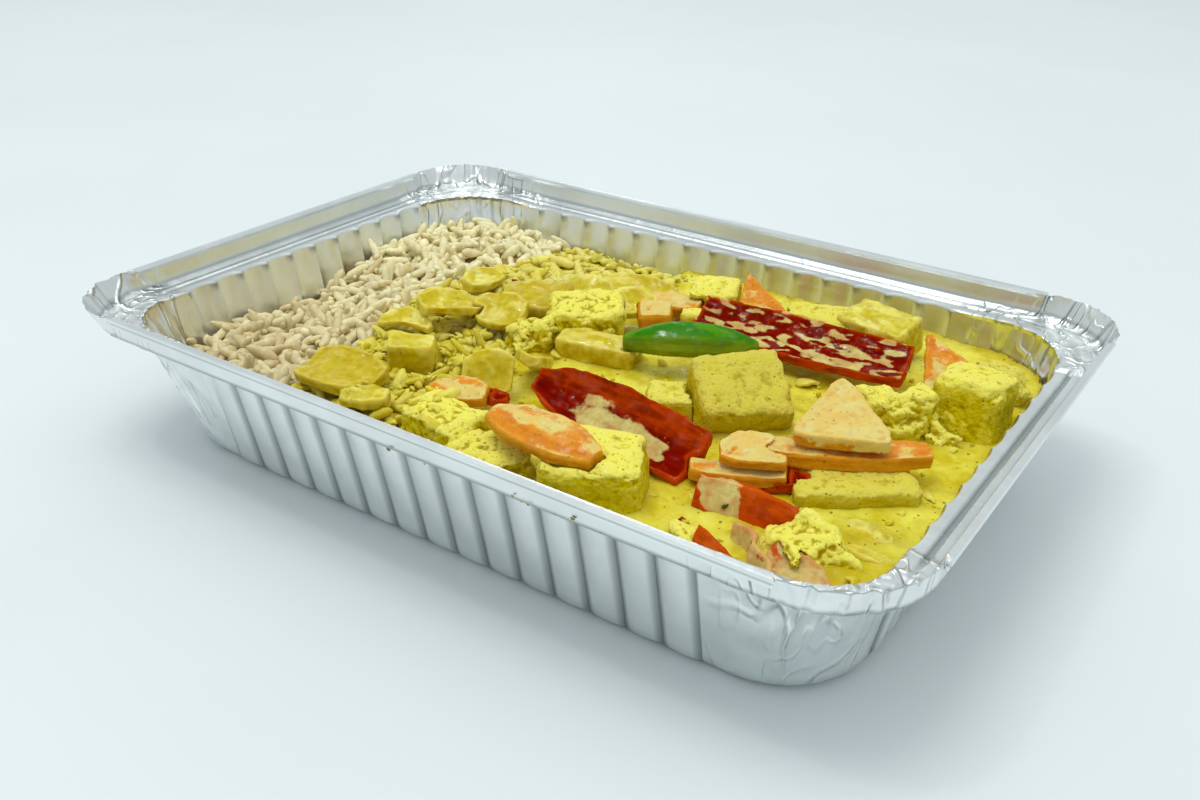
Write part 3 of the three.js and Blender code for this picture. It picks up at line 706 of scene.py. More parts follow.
def wall_inset(height):
    return WALL_TAPER * (1 - np.minimum(height, LEDGE_HEIGHT) / LEDGE_HEIGHT)


def flute_wave(along, axis):
    """How far a flute bulges, from 0 in its grooves to 1 at its crown."""
    count, pitch = FLUTES[axis], FLUTE_PITCH[axis]
    wave = np.abs(np.sin(np.pi * (along / pitch + count / 2))) ** 0.6
    return np.where(np.abs(along) < FLUTED_HALF[axis], wave, 0)


def groove_room(along, axis):
    """How far the foil's shoulders stand in beside each groove between two flutes."""
    turns = along / FLUTE_PITCH[axis] + FLUTES[axis] / 2
    off = np.abs(turns - np.round(turns)) * FLUTE_PITCH[axis]
    return 0.7 * MM * np.clip(1 - off / (1.0 * MM), 0, 1)


def flute_depth(height):
    share = np.clip(height / LEDGE_HEIGHT, 0, 1)
    return FLUTE_DEPTH_LOW + (FLUTE_DEPTH - FLUTE_DEPTH_LOW) * share


def well_radius(y, height):
    squared = NEAR_SQUARING * np.clip(height / LEDGE_HEIGHT, 0, 1)
    return np.where(y < 0, WELL_RADIUS - squared, WELL_RADIUS)


def wall_reach(points):
    """Half width and half depth of the well at each point, and its corner radius."""
    x, y, z = points.T
    inset, depth = wall_inset(z), flute_depth(z)
    half_x = MOUTH_HALF[0] - inset + depth * flute_wave(y, 1) - groove_room(y, 1)
    half_y = MOUTH_HALF[1] - inset + depth * flute_wave(x, 0) - groove_room(x, 0)
    return half_x, half_y, well_radius(y, z)


def keep_inside(points, margin):
    """Pulls points that would cross the wall of the tray back to its inner face."""
    half_x, half_y, radius = wall_reach(points)
    x = np.clip(points[:, 0], margin - half_x, half_x - margin)
    y = np.clip(points[:, 1], margin - half_y, half_y - margin)
    centre_x, centre_y = half_x - radius, half_y - radius
    over_x, over_y = np.abs(x) - centre_x, np.abs(y) - centre_y
    reach = np.hypot(over_x, over_y)
    outside = (over_x > 0) & (over_y > 0) & (reach > radius - margin)
    pull = np.where(outside, (radius - margin) / np.maximum(reach, 1e-9), 1)
    x = np.where(outside, np.sign(x) * (centre_x + over_x * pull), x)
    y = np.where(outside, np.sign(y) * (centre_y + over_y * pull), y)
    return np.column_stack([x, y, points[:, 2]])


def wall_room(points):
    """Distance from each point to the wall of the tray, negative outside."""
    half_x, half_y, radius = wall_reach(points)
    over_x = np.abs(points[:, 0]) - half_x + radius
    over_y = np.abs(points[:, 1]) - half_y + radius
    corner = radius - np.hypot(np.maximum(over_x, 0), np.maximum(over_y, 0))
    straight = np.minimum(radius - over_x, radius - over_y)
    return np.where((over_x > 0) & (over_y > 0), corner, straight)


# ---- the foil tray -----------------------------------------------------------------------------


class Outline:
    """The foil's columns, one after another round the tray.

    A column stands on a long side, on a short side or at a corner. At a corner its share
    runs from 0 to 1 before the bend, to 2 round it and to 3 after it.
    """

    PER_FLUTE = 10
    CORNER_RUNS = (14, 56, 8)

    def __init__(self):
        rows = []
        corner = np.concatenate([
            part + (np.arange(count) + 0.5) / count for part, count in enumerate(self.CORNER_RUNS)
        ])
        for sign_x, sign_y in ((1, -1), (1, 1), (-1, 1), (-1, -1)):
            long_side = sign_x * sign_y < 0
            axis = 0 if long_side else 1
            count = FLUTES[axis] * self.PER_FLUTE
            along = np.linspace(-1, 1, count + 1) * FLUTED_HALF[axis]
            direction = (sign_x if long_side else sign_y)
            rows += [(axis, sign_x, sign_y, direction * value) for value in along]
            share = corner if long_side else corner[::-1]
            rows += [(2, sign_x, sign_y, value) for value in share]
        self.kind, self.sign_x, self.sign_y, self.share = np.array(rows).T
        self.bent = np.clip(self.share - 1, 0, 1) * (self.kind == 2)
        self.angle = self.bent * math.pi / 2
        before = np.clip(self.share, 0, 1)
        after = 1 - np.clip(self.share - 2, 0, 1)
        self.corner = np.where(self.kind == 2, np.minimum(before, after), 0.0)
        self.lip = np.where((self.kind == 1) & (self.sign_x > 0), 0.4, 0.9)
        self.hemmed = (self.kind < 2) | (self.share < 1) | (self.share > 2)

    def ring(self, half_x, half_y, radius_near, radius_far, drawn=0.0, depth=0.0):
        """Places of all columns on one ring, with their outward directions."""
        straight_y = MOUTH_HALF[1] - WELL_RADIUS
        pull = drawn * np.sign(self.share) * np.minimum(1, np.abs(self.share) / straight_y) ** 3
        end_y = FLUTED_HALF[1] - drawn * min(1, FLUTED_HALF[1] / straight_y) ** 3
        radius = np.where(self.sign_y < 0, radius_near, radius_far)
        before = np.clip(self.share, 0, 1)
        after = np.clip(self.share - 2, 0, 1)
        corner_x = (1 - before) * FLUTED_HALF[0] + before * (half_x - radius)
        corner_y = (1 - after) * (half_y - radius) + after * end_y
        corner_x = corner_x + radius * np.sin(self.angle)
        corner_y = corner_y + radius * np.cos(self.angle)
        x = np.select([self.kind == 0, self.kind == 1], [self.share, self.sign_x * half_x],
                      self.sign_x * corner_x)
        y = np.select([self.kind == 0, self.kind == 1], [self.sign_y * half_y, self.share - pull],
                      self.sign_y * corner_y)
        out_x = np.select([self.kind == 0, self.kind == 1], [0, self.sign_x],
                          self.sign_x * np.sin(self.angle))
        out_y = np.select([self.kind == 0, self.kind == 1], [self.sign_y, 0],
                          self.sign_y * np.cos(self.angle))
        wave = np.select([self.kind == 0, self.kind == 1],
                         [flute_wave(self.share, 0), flute_wave(self.share, 1)], 0.0)
        return x + out_x * depth * wave, y + out_y * depth * wave, out_x, out_y


# Rings of the well: sizes of those on the base, turns round its edge, heights up the wall.
BASE_RINGS = (0.0, 0.5, 0.86, 0.97)
EDGE_TURNS = (0, 30, 60, 90)
WALL_RINGS = np.linspace(4.6 * MM, LEDGE_HEIGHT - 0.9 * MM, 15)


def well_rows():
    """Rings of the well from the middle of the base to the mouth."""
    rows = []
    for size in BASE_RINGS:
        rows.append({"size": size, "inset": WALL_TAPER + BOTTOM_ROUNDING, "z": 0.0, "flute": 0.1})
    for turn in EDGE_TURNS:
        height = BOTTOM_ROUNDING * (1 - math.cos(math.radians(turn)))
        inset = BOTTOM_ROUNDING * (1 - math.sin(math.radians(turn)))
        rows.append({"inset": wall_inset(height) + inset, "z": height, "flute": 0.3 + turn / 150})
    for height in WALL_RINGS:
        rows.append({"inset": wall_inset(height), "z": height, "flute": 1.0})
    return rows


# Distance out from the mouth and height above the ledge in mm, then the share of the flutes'
# depth and the painted shade on the metal.
LEDGE_PROFILE = (
    (-0.1, -0.4, 1.0, 0.1), (0.25, -0.05, 0.95, 0.0), (0.8, 0.0, 0.8, 0.0), (1.5, 0.02, 0.45, 0.0),
    (2.4, 0.0, 0.1, 0.0), (2.9, -0.02, 0.0, 0.3), (3.3, -0.5, 0.0, 0.8), (4.1, -0.5, 0.0, 0.6),
    (4.5, 0.0, 0.0, 0.0), (4.8, 0.15, 0.0, 0.0), (5.1, 0.0, 0.0, 0.0), (5.9, 0.02, 0.0, 0.1),
    (6.2, -0.12, 0.0, 0.5), (6.6, 0.02, 0.0, 0.0), (7.5, 0.05, 0.0, 0.0), (8.05, 0.35, 0.0, 0.5),
)
# The rolled hem: distance out from the flange's inner face and below the top in mm, and the
# painted shade in its folds.
HEM_PROFILE = (
    (0.25, 1.5, 0.2), (0.05, 0.7, 0.0), (0.4, 0.12, 0.0), (1.0, 0.0, 0.0), (1.7, 0.22, 0.0),
    (1.95, 0.7, 0.0), (1.7, 1.15, 0.5), (1.0, 1.35, 1.0), (1.05, 1.6, 0.7), (1.15, 2.0, 0.0),
    (1.1, 2.5, 0.0), (0.85, 2.6, 0.8),
)


# The flange above the ledge: shares of its height, its lean, the radius of its corners, the
# bare width outside it, and how far its unrolled corners stay below the top.
FLANGE_RINGS = (0.12, 0.3, 0.55, 0.8, 1.0)
FLANGE_LEAN = 0.7 * MM
FLANGE_RADIUS = 21 * MM
FLANGE_MARGIN = 2 * MM
UNROLLED_DROP = 0.5 * MM


class RimShape:
    """How far the unrolled corners of the flange flare, and their random folds."""

    FLARES = {(1, -1): 0.2, (1, 1): 1.8, (-1, 1): 2.4, (-1, -1): 2.6}
    FOLDS = 17

    def __init__(self, outline, pleat_depth):
        random = np.random.default_rng(7)
        self.flare = np.zeros(len(outline.kind))
        self.pleats = np.zeros(len(outline.kind))
        for (sign_x, sign_y), flare in self.FLARES.items():
            here = (outline.sign_x == sign_x) & (outline.sign_y == sign_y) & (outline.kind == 2)
            angle = outline.angle[here]
            folds = np.zeros(len(angle))
            for _ in range(self.FOLDS):
                centre = random.uniform(0, math.pi / 2)
                width = random.uniform(0.03, 0.08)
                folds += random.uniform(-1, 1) * np.maximum(0, 1 - np.abs(angle - centre) / width)
            self.pleats[here] = folds * pleat_depth * outline.corner[here]
            self.flare[here] = flare * MM * np.sin(2 * angle) ** 0.7


def foil_grid(outline, settings):
    """Points of the foil, ring by ring from the middle of the base to the cut edge."""
    rim = RimShape(outline, settings.pleat_depth)
    rings, weights, grooves = [], [], []
    wave = np.select([outline.kind == 0, outline.kind == 1],
                     [flute_wave(outline.share, 0), flute_wave(outline.share, 1)], 1.0)
    valley = smoothstep(0.72, 0.3, wave)

    def add(x, y, z, out_x, out_y, move, weight, groove=0.0):
        grooves.append(np.broadcast_to(groove, x.shape))
        rings.append(np.column_stack([x + out_x * move, y + out_y * move,
                                      np.broadcast_to(z, x.shape)]))
        weights.append(np.broadcast_to(weight, x.shape) * (0.06 + 0.94 * outline.corner))

    for row in well_rows():
        half_x, half_y = MOUTH_HALF[0] - row["inset"], MOUTH_HALF[1] - row["inset"]
        near = float(well_radius(-1.0, row["z"]))
        rounded = smoothstep(LEDGE_HEIGHT - 5 * MM, LEDGE_HEIGHT, row["z"])
        depth = flute_depth(row["z"]) * row["flute"] * (1 + rounded * (outline.lip - 1))
        x, y, out_x, out_y = outline.ring(half_x, half_y, near, WELL_RADIUS, row["inset"], depth)
        size = row.get("size", 1.0)
        ridge = np.clip(x, -0.4 * half_x, 0.4 * half_x)
        x, y = ridge + (x - ridge) * size, y * size
        share = row["z"] / LEDGE_HEIGHT
        low = 1 - smoothstep(0.0, 5 * MM, row["z"])
        move = rim.pleats * (0.1 + 0.6 * share) + wall_creases(outline, row["z"], settings.crease)
        # Painted shade: darker in the valleys between the flutes and near the base of the well.
        add(x, y, row["z"], out_x, out_y, move, 0.35 + 0.35 * share,
            np.clip(valley * min(row["flute"], 1.0) * 0.9 + 0.25 * low, 0, 1))
    foot = RIM_TO_MOUTH - FLANGE_MARGIN
    for out, up, flute, painted_shade in LEDGE_PROFILE:
        share = max(out * MM / foot, 0)
        near = WELL_RADIUS - NEAR_SQUARING + share * (NEAR_SQUARING + 1.7 * MM)
        far = WELL_RADIUS + share * 1.7 * MM
        x, y, out_x, out_y = outline.ring(MOUTH_HALF[0] + out * MM, MOUTH_HALF[1] + out * MM,
                                          near, far, 0.0, FLUTE_DEPTH * flute * outline.lip)
        rise = LEDGE_HEIGHT + up * MM * (1 - 0.6 * outline.corner)
        add(x, y, rise, out_x, out_y, rim.pleats * 0.5 * (1 - share), 1.0,
            painted_shade * (1 - 0.7 * outline.corner))
    top = TRAY_HIGH.z - UNROLLED_DROP
    hem_start = TRAY_HIGH.z - HEM_PROFILE[0][1] * MM
    for share in FLANGE_RINGS:
        low = LEDGE_HEIGHT + 0.3 * MM
        z = low + share * (np.where(outline.hemmed, hem_start, top) - low)
        out = foot + FLANGE_LEAN * share
        x, y, out_x, out_y = outline.ring(MOUTH_HALF[0] + out, MOUTH_HALF[1] + out,
                                          FLANGE_RADIUS, FLANGE_RADIUS)
        move = (rim.flare * share + rim.pleats * (0.5 + 0.5 * share))
        # A line of painted shade at the foot of the flange.
        add(x, y, z, out_x, out_y, move, 0.8, 0.6 if share < 0.2 else 0.0)
    edge = rings[-1]
    for out, drop, painted_shade in HEM_PROFILE:
        reach = foot + out * MM
        x, y, _, _ = outline.ring(MOUTH_HALF[0] + reach, MOUTH_HALF[1] + reach,
                                  FLANGE_RADIUS, FLANGE_RADIUS)
        ring = np.column_stack([x, y, np.full(x.shape, TRAY_HIGH.z - drop * MM)])
        ring[~outline.hemmed] = edge[~outline.hemmed]
        rings.append(ring)
        weights.append(np.full(x.shape, 0.05))
        grooves.append(np.where(outline.hemmed, painted_shade, 0.0))
    return np.array(rings), np.array(weights), np.array(grooves)


CREASES_PER_CORNER = 13


def wall_creases(outline, height, depth):
    """Sharp creases that run down the corners of the wall from the ledge, some slanting."""
    random = np.random.default_rng(31)
    down = (LEDGE_HEIGHT - height) / LEDGE_HEIGHT
    total = np.zeros(len(outline.kind))
    for sign_x, sign_y in RimShape.FLARES:
        here = (outline.sign_x == sign_x) & (outline.sign_y == sign_y) & (outline.kind == 2)
        along = outline.share[here]
        for _ in range(CREASES_PER_CORNER):
            start, slant = random.uniform(0.4, 2.2), random.normal(0, 0.45)
            width, end = random.uniform(0.025, 0.06), random.uniform(0.3, 1.0)
            kink, push = random.uniform(0.15, 0.6), random.choice((-0.3, 1))
            centre = start + slant * (down if down < kink else 2 * kink - down)
            fade = max(0.0, 1 - down / end) ** 0.6 * min(1.0, 0.35 + down * 4)
            total[here] += push * fade * np.maximum(0, 1 - np.abs(along - centre) / width)
    return np.clip(total, -0.3, 1.2) * depth


def crumple_foil(points, weights, depth):
    """Creases the foil, strongly where it is folded and hardly along the straight sides."""
    broad = creases(points * (1, 1, 0.55), 9 * MM, 3.1)
    small = creases(points, 3.2 * MM, 8.7)
    amount = weights * depth
    outward = points / np.maximum(np.linalg.norm(points, axis=1, keepdims=True), 1e-9)
    on_ledge = smoothstep(LEDGE_HEIGHT - 1.5 * MM, LEDGE_HEIGHT, points[:, 2])
    wall = np.column_stack([outward[:, 0], outward[:, 1], 0 * broad])
    moved = points + wall * ((broad * 0.9 + small * 0.35) * amount * (1 - on_ledge))[:, None]
    moved[:, 2] += (broad * 0.4 + small * 0.6) * amount * on_ledge * 0.8
    return moved


def brighten_inside(piece):
    """Keeps the painted shade of the grooves between the flutes to the outside of the wall."""
    points, normals = points_of(piece), normals_of(piece)
    outer = smoothstep(-0.3, 0.1, np.einsum("ij,ij->i", points[:, :2], normals[:, :2])
                       / np.linalg.norm(points[:, :2] + 1e-6, axis=1))
    in_wall = points[:, 2] < LEDGE_HEIGHT - 1.5 * MM
    groove = piece.data.attributes["groove"].data
    darkness = np.empty(len(points))
    groove.foreach_get("value", darkness)
    darkness = np.where(in_wall, darkness * outer, darkness)
    groove.foreach_set("value", darkness.astype(np.float32))


class TRAYMEAL_OT_foil_tray(bpy.types.Operator):
    """Press the foil tray: fluted walls, grooved ledge, hemmed flange and pleated corners"""

    bl_idname = "traymeal.foil_tray"
    bl_label = "Foil tray"

    SEAM = 0.012 * MM
    SHARP = math.radians(38)

    def execute(self, context):
        settings = context.scene.traymeal_tray
        outline = Outline()
        rings, weights, grooves = foil_grid(outline, settings)
        ring_count, column_count = weights.shape
        bpy.ops.object.select_all(action="DESELECT")
        bpy.ops.mesh.primitive_grid_add(x_subdivisions=column_count,
                                        y_subdivisions=ring_count - 1, size=1)
        piece = context.active_object
        piece.name = "foil_pressed_tray"
        points = rings.reshape(-1, 3)
        moved = crumple_foil(points, weights.ravel(), settings.crumple)
        low, high = np.array(TRAY_LOW), np.array(TRAY_HIGH)
        moved = np.clip(moved, low + settings.foil, high)
        moved = moved.reshape(ring_count, column_count, 3)
        closed = np.concatenate([moved, moved[:, :1]], axis=1)
        set_points(piece, closed.reshape(-1, 3))
        piece.matrix_world = Matrix.Identity(4)
        for name, values in (("crumple", weights), ("groove", grooves)):
            set_attribute(piece, name, np.concatenate([values, values[:, :1]], axis=1).ravel())
        merge_doubles(piece, self.SEAM)
        shaped(piece, "SOLIDIFY", thickness=settings.foil, offset=0.0)
        set_points(piece, np.clip(points_of(piece), low, high))
        face_outward(piece)
        brighten_inside(piece)
        finish_piece(piece, foil_material(settings), "foil_tray")
        select_only(piece)
        bpy.ops.object.shade_smooth_by_angle(angle=self.SHARP)
        return {"FINISHED"}


# ---- scattering small things -------------------------------------------------------------------


def scatter_tree(kernel):
    """Geometry nodes that set the kernel on every point and make it real."""
    tree = bpy.data.node_groups.new(f"scatter_{kernel.name}", "GeometryNodeTree")
    tree.interface.new_socket("Geometry", in_out="INPUT", socket_type="NodeSocketGeometry")
    tree.interface.new_socket("Geometry", in_out="OUTPUT", socket_type="NodeSocketGeometry")
    start = tree.nodes.new("NodeGroupInput")
    end = tree.nodes.new("NodeGroupOutput")
    shape = add_node(tree, "GeometryNodeObjectInfo", {"Object": kernel})
    turn = add_node(tree, "GeometryNodeInputNamedAttribute", {"Name": "turn"},
                    data_type="FLOAT_VECTOR")
    size = add_node(tree, "GeometryNodeInputNamedAttribute", {"Name": "size"},
                    data_type="FLOAT_VECTOR")
    copies = add_node(tree, "GeometryNodeInstanceOnPoints", {
        "Points": start.outputs["Geometry"],
        "Instance": shape.outputs["Geometry"],
        "Rotation": turn.outputs["Attribute"],
        "Scale": size.outputs["Attribute"],
    })
    real = add_node(tree, "GeometryNodeRealizeInstances", {"Geometry": copies.outputs[0]})
    tree.links.new(real.outputs[0], end.inputs["Geometry"])
    return tree


def scatter(name, kernel, places, turns, sizes, tones):
    """One mesh with a copy of the kernel at every place."""
    mesh = bpy.data.meshes.new(name)
    mesh.vertices.add(len(places))
    mesh.vertices.foreach_set("co", np.ascontiguousarray(places, dtype=float).ravel())
    piece = new_piece(name, mesh)
    for key, values in (("turn", turns), ("size", sizes), ("tone", tones)):
        set_attribute(piece, key, values)
    modifier = piece.modifiers.new("Scatter", "NODES")
    modifier.node_group = scatter_tree(kernel)
    bpy.ops.object.modifier_apply(modifier=modifier.name)
    bpy.data.objects.remove(kernel)
    return piece


def rice_kernel(settings):
    """One cooked grain of brown rice, lying along X and slightly curved."""
    bpy.ops.object.select_all(action="DESELECT")
    bpy.ops.mesh.primitive_uv_sphere_add(segments=10, ring_count=9, radius=0.5,
                                         rotation=(0, math.pi / 2, 0))
    kernel = bpy.context.active_object
    kernel.name = "grain"
    bpy.ops.object.transform_apply(location=False, rotation=True, scale=False)
    points = points_of(kernel)
    along = points[:, 0] * 2
    blunt = np.sqrt((1.001 - np.abs(along) ** 3.0) / (1.001 - along ** 2))
    fullness = blunt * (1 - 0.12 * along ** 2 + 0.1 * along)
    points[:, 1] *= fullness * settings.grain_width
    points[:, 2] *= fullness * settings.grain_width * 0.86
    points[:, 2] -= 0.32 * MM * along ** 2
    points[:, 1] += 0.22 * MM * along ** 2
    points[:, 0] *= settings.grain_length
    set_points(kernel, points)
    smooth_faces(kernel)
    return kernel


def flake_kernel():
    """A curved flake of onion with an uneven outline, one unit across."""
    bpy.ops.object.select_all(action="DESELECT")
    bpy.ops.mesh.primitive_grid_add(x_subdivisions=9, y_subdivisions=7, size=1)
    kernel = bpy.context.active_object
    kernel.name = "flake"
    x, y, z = points_of(kernel).T
    out, angle = 2 * np.maximum(np.abs(x), np.abs(y)), np.arctan2(y, x)
    reach = 0.5 * out * (1 + 0.14 * np.sin(3 * angle + 1) + 0.09 * np.sin(5 * angle))
    x, y = reach * np.cos(angle), reach * np.sin(angle)
    set_points(kernel, np.column_stack([x, y, 0.3 - 1.3 * y * y - 0.4 * x * x]))
    shaped(kernel, "SOLIDIFY", thickness=0.2)
    shaped(kernel, "BEVEL", width=0.04, segments=1)
    smooth_faces(kernel)
    return kernel


def crumb_kernel():
    """A small knobbly lump, one unit across."""
    bpy.ops.object.select_all(action="DESELECT")
    bpy.ops.mesh.primitive_ico_sphere_add(subdivisions=3, radius=0.5)
    kernel = bpy.context.active_object
    kernel.name = "crumb"
    points = points_of(kernel)
    lumps = field(points, 0.5, 1.7) * 0.5 + field(points, 0.22, 5.1) * 0.25
    set_points(kernel, points * (1 + lumps)[:, None])
    smooth_faces(kernel)
    return kernel


def lying_turn(normal, yaw, pitch, roll):
    """Euler angles of something that lies along a surface, tipped up by its pitch."""
    ahead = Vector((math.cos(yaw), math.sin(yaw), 0))
    side = normal.cross(ahead).normalized()
    ahead = side.cross(normal).normalized()
    basis = Matrix((ahead, side, normal)).transposed()
    tipped = basis @ Matrix.Rotation(pitch, 3, "Y") @ Matrix.Rotation(roll, 3, "X")
    return tipped.to_euler()


class Heap:
    """The surface that grains are laid on, and what they must keep clear of."""

    OVERLAP = 0.3 * MM
    WALL_GAP = 0.9 * MM

    def __init__(self, core, beside, toppings, settings, seed):
        self.surface = tree_of(core)
        self.beside = tree_of(beside)
        self.toppings = tree_of(*toppings)
        self.settings = settings
        self.random = np.random.default_rng(seed)
        self.places, self.turns, self.sizes, self.tones = [], [], [], []

    def lay(self, left, right, spacing, lift, tip, clear, tone):
        """Lays one layer of grains between two edges, each a function of y."""
        reach = MOUTH_HALF[1] - 1 * MM
        for y in np.arange(-reach, reach, spacing * 0.85):
            for x in np.arange(left(y), right(y), spacing):
                jitter = self.random.uniform(-0.5, 0.5, 2) * spacing
                yaw, roll = self.random.uniform(0, 2 * math.pi, 2)
                pitch = math.radians(self.random.normal(0, tip))
                stretch = self.random.uniform(0.74, 1.14)
                girth = self.random.uniform(0.78, 1.16)
                height = self.random.normal(lift, 0.5 * MM)
                shade = np.clip(self.random.normal(tone, 0.25) - 0.62 * y / reach, 0, 1)
                hit, normal = look_down(self.surface, x + jitter[0], y + jitter[1])
                over = look_down(self.beside, x + jitter[0], y + jitter[1])[0]
                if hit is None or (over and over.z > hit.z + self.OVERLAP):
                    continue
                turn = lying_turn(normal, yaw, pitch, roll)
                centre = hit + Vector((0, 0, height))
                if self.is_clear(centre, turn, stretch, clear):
                    self.places.append(centre)
                    self.turns.append(turn)
                    self.sizes.append((stretch, girth, girth))
                    self.tones.append(shade)

    def is_clear(self, centre, turn, stretch, clear):
        ahead = turn.to_matrix() @ Vector((self.settings.grain_length * stretch / 2, 0, 0))
        ends = np.array([centre + ahead, centre - ahead, centre])
        if wall_room(ends).min() < self.WALL_GAP:
            return False
        return all(self.toppings.find_nearest(Vector(end))[3] > clear for end in ends)

    def finish_grains(self, node, pale, tan, roughness):
        """Makes one uneven, clinging mass of all the grains that were laid."""
        grains = scatter(f"{node}_grains", rice_kernel(self.settings), self.places, self.turns,
                         self.sizes, self.tones)
        bulge(grains, 1.7 * MM, 0.8 * MM)
        finish_piece(grains, grain_material(node, pale, tan, roughness), node)


def rice_edge(y):
    """Where the plain rice ends and the soaked rice starts along the tray."""
    return (-55.5 - 7.5 * math.sin((y / MM + 22) * 0.045)) * MM


def sauce_edge(y):
    """Where the soaked rice ends and the open sauce starts."""
    return (-16 - 8 * math.sin((y / MM + 14) * 0.05)) * MM


def heap_core(node, name, sink):
    """The heap's own body, a little below the tops of its grains."""
    core = copy_of(node, name)
    shaped(core, "REMESH", mode="VOXEL", voxel_size=1.3 * MM)
    shaped(core, "SMOOTH", factor=0.6, iterations=12)
    points, normals = points_of(core), normals_of(core)
    points -= normals * sink * np.clip(normals[:, 2:], 0, 1)
    set_points(core, keep_inside(points, 0.6 * MM))
    return core


class TRAYMEAL_OT_rice(bpy.types.Operator):
    """Heap up the plain and the sauce-soaked brown rice, grain by grain"""

    bl_idname = "traymeal.rice"
    bl_label = "Rice"

    # Layers of grains: height above the core in mm, tip in degrees, how widely they are spaced.
    PLAIN_LAYERS = ((0.2, 16, 1.0), (1.3, 24, 1.05), (2.5, 32, 1.35))
    SOAKED_LAYERS = ((-0.2, 14, 1.15), (0.7, 20, 1.5))

    def execute(self, context):
        settings = context.scene.traymeal_rice
        sauce = context.scene.traymeal_sauce
        toppings = [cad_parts[name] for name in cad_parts
                    if name.split("_")[0] in ("onion", "tofu", "carrot")]
        plain = heap_core("brown_rice", "rice_core", 1.2 * MM)
        soaked = heap_core("soaked_rice", "soaked_rice_core", 0.5 * MM)
        heap = Heap(plain, soaked, toppings, settings, 11)
        left, right = (lambda y: TRAY_LOW.x + 9 * MM), (lambda y: rice_edge(y) + 6 * MM)
        for lift, tip, spacing in self.PLAIN_LAYERS:
            heap.lay(left, right, settings.spacing * spacing, lift * MM, tip, 0.8 * MM, 0.4)
        heap.finish_grains("brown_rice", settings.pale, settings.tan, 0.45)
        heap = Heap(soaked, plain, toppings, settings, 12)
        left, right = (lambda y: rice_edge(y) - 4 * MM), (lambda y: sauce_edge(y) - 1 * MM)
        for lift, tip, spacing in self.SOAKED_LAYERS:
            heap.lay(left, right, settings.spacing * spacing, lift * MM, tip, 0.6 * MM, 0.45)
        heap.finish_grains("soaked_rice", settings.soaked, sauce.deep, 0.3)
        bulge(plain, 3 * MM, 0.9 * MM)
        # Painted shade: the heap's body, seen only in the gaps between the grains, is a darker
        # brown than the grains.
        painted_gap_shade = grain_material("rice_core", srgb(160, 128, 76), srgb(126, 92, 44), 0.6)
        finish_piece(plain, painted_gap_shade, "brown_rice")
        shaped(soaked, "REMESH", mode="VOXEL", voxel_size=0.7 * MM)
        bulge(soaked, 5 * MM, 1.6 * MM)
        bulge(soaked, 1.8 * MM, 1.0 * MM)
        set_points(soaked, keep_inside(points_of(soaked), 0.3 * MM))
        for name, value in (("film", 0.3), ("up", 1.0), ("dip", hollowness(soaked, 8, 0.2 * MM))):
            set_attribute(soaked, name, np.broadcast_to(value, len(soaked.data.vertices)))
        # Painted shade: the soaked core darkens to its deep colour in its dips between the grains.
        material = coated_material("soaked_core", srgb(190, 168, 44), sauce.gold_and_shade,
                                   srgb(116, 86, 4), (sauce.deep, sauce.gold_and_shade), film_share=0.5)
        finish_piece(soaked, material, "soaked_rice")
        return {"FINISHED"}


# ---- the sauce ---------------------------------------------------------------------------------


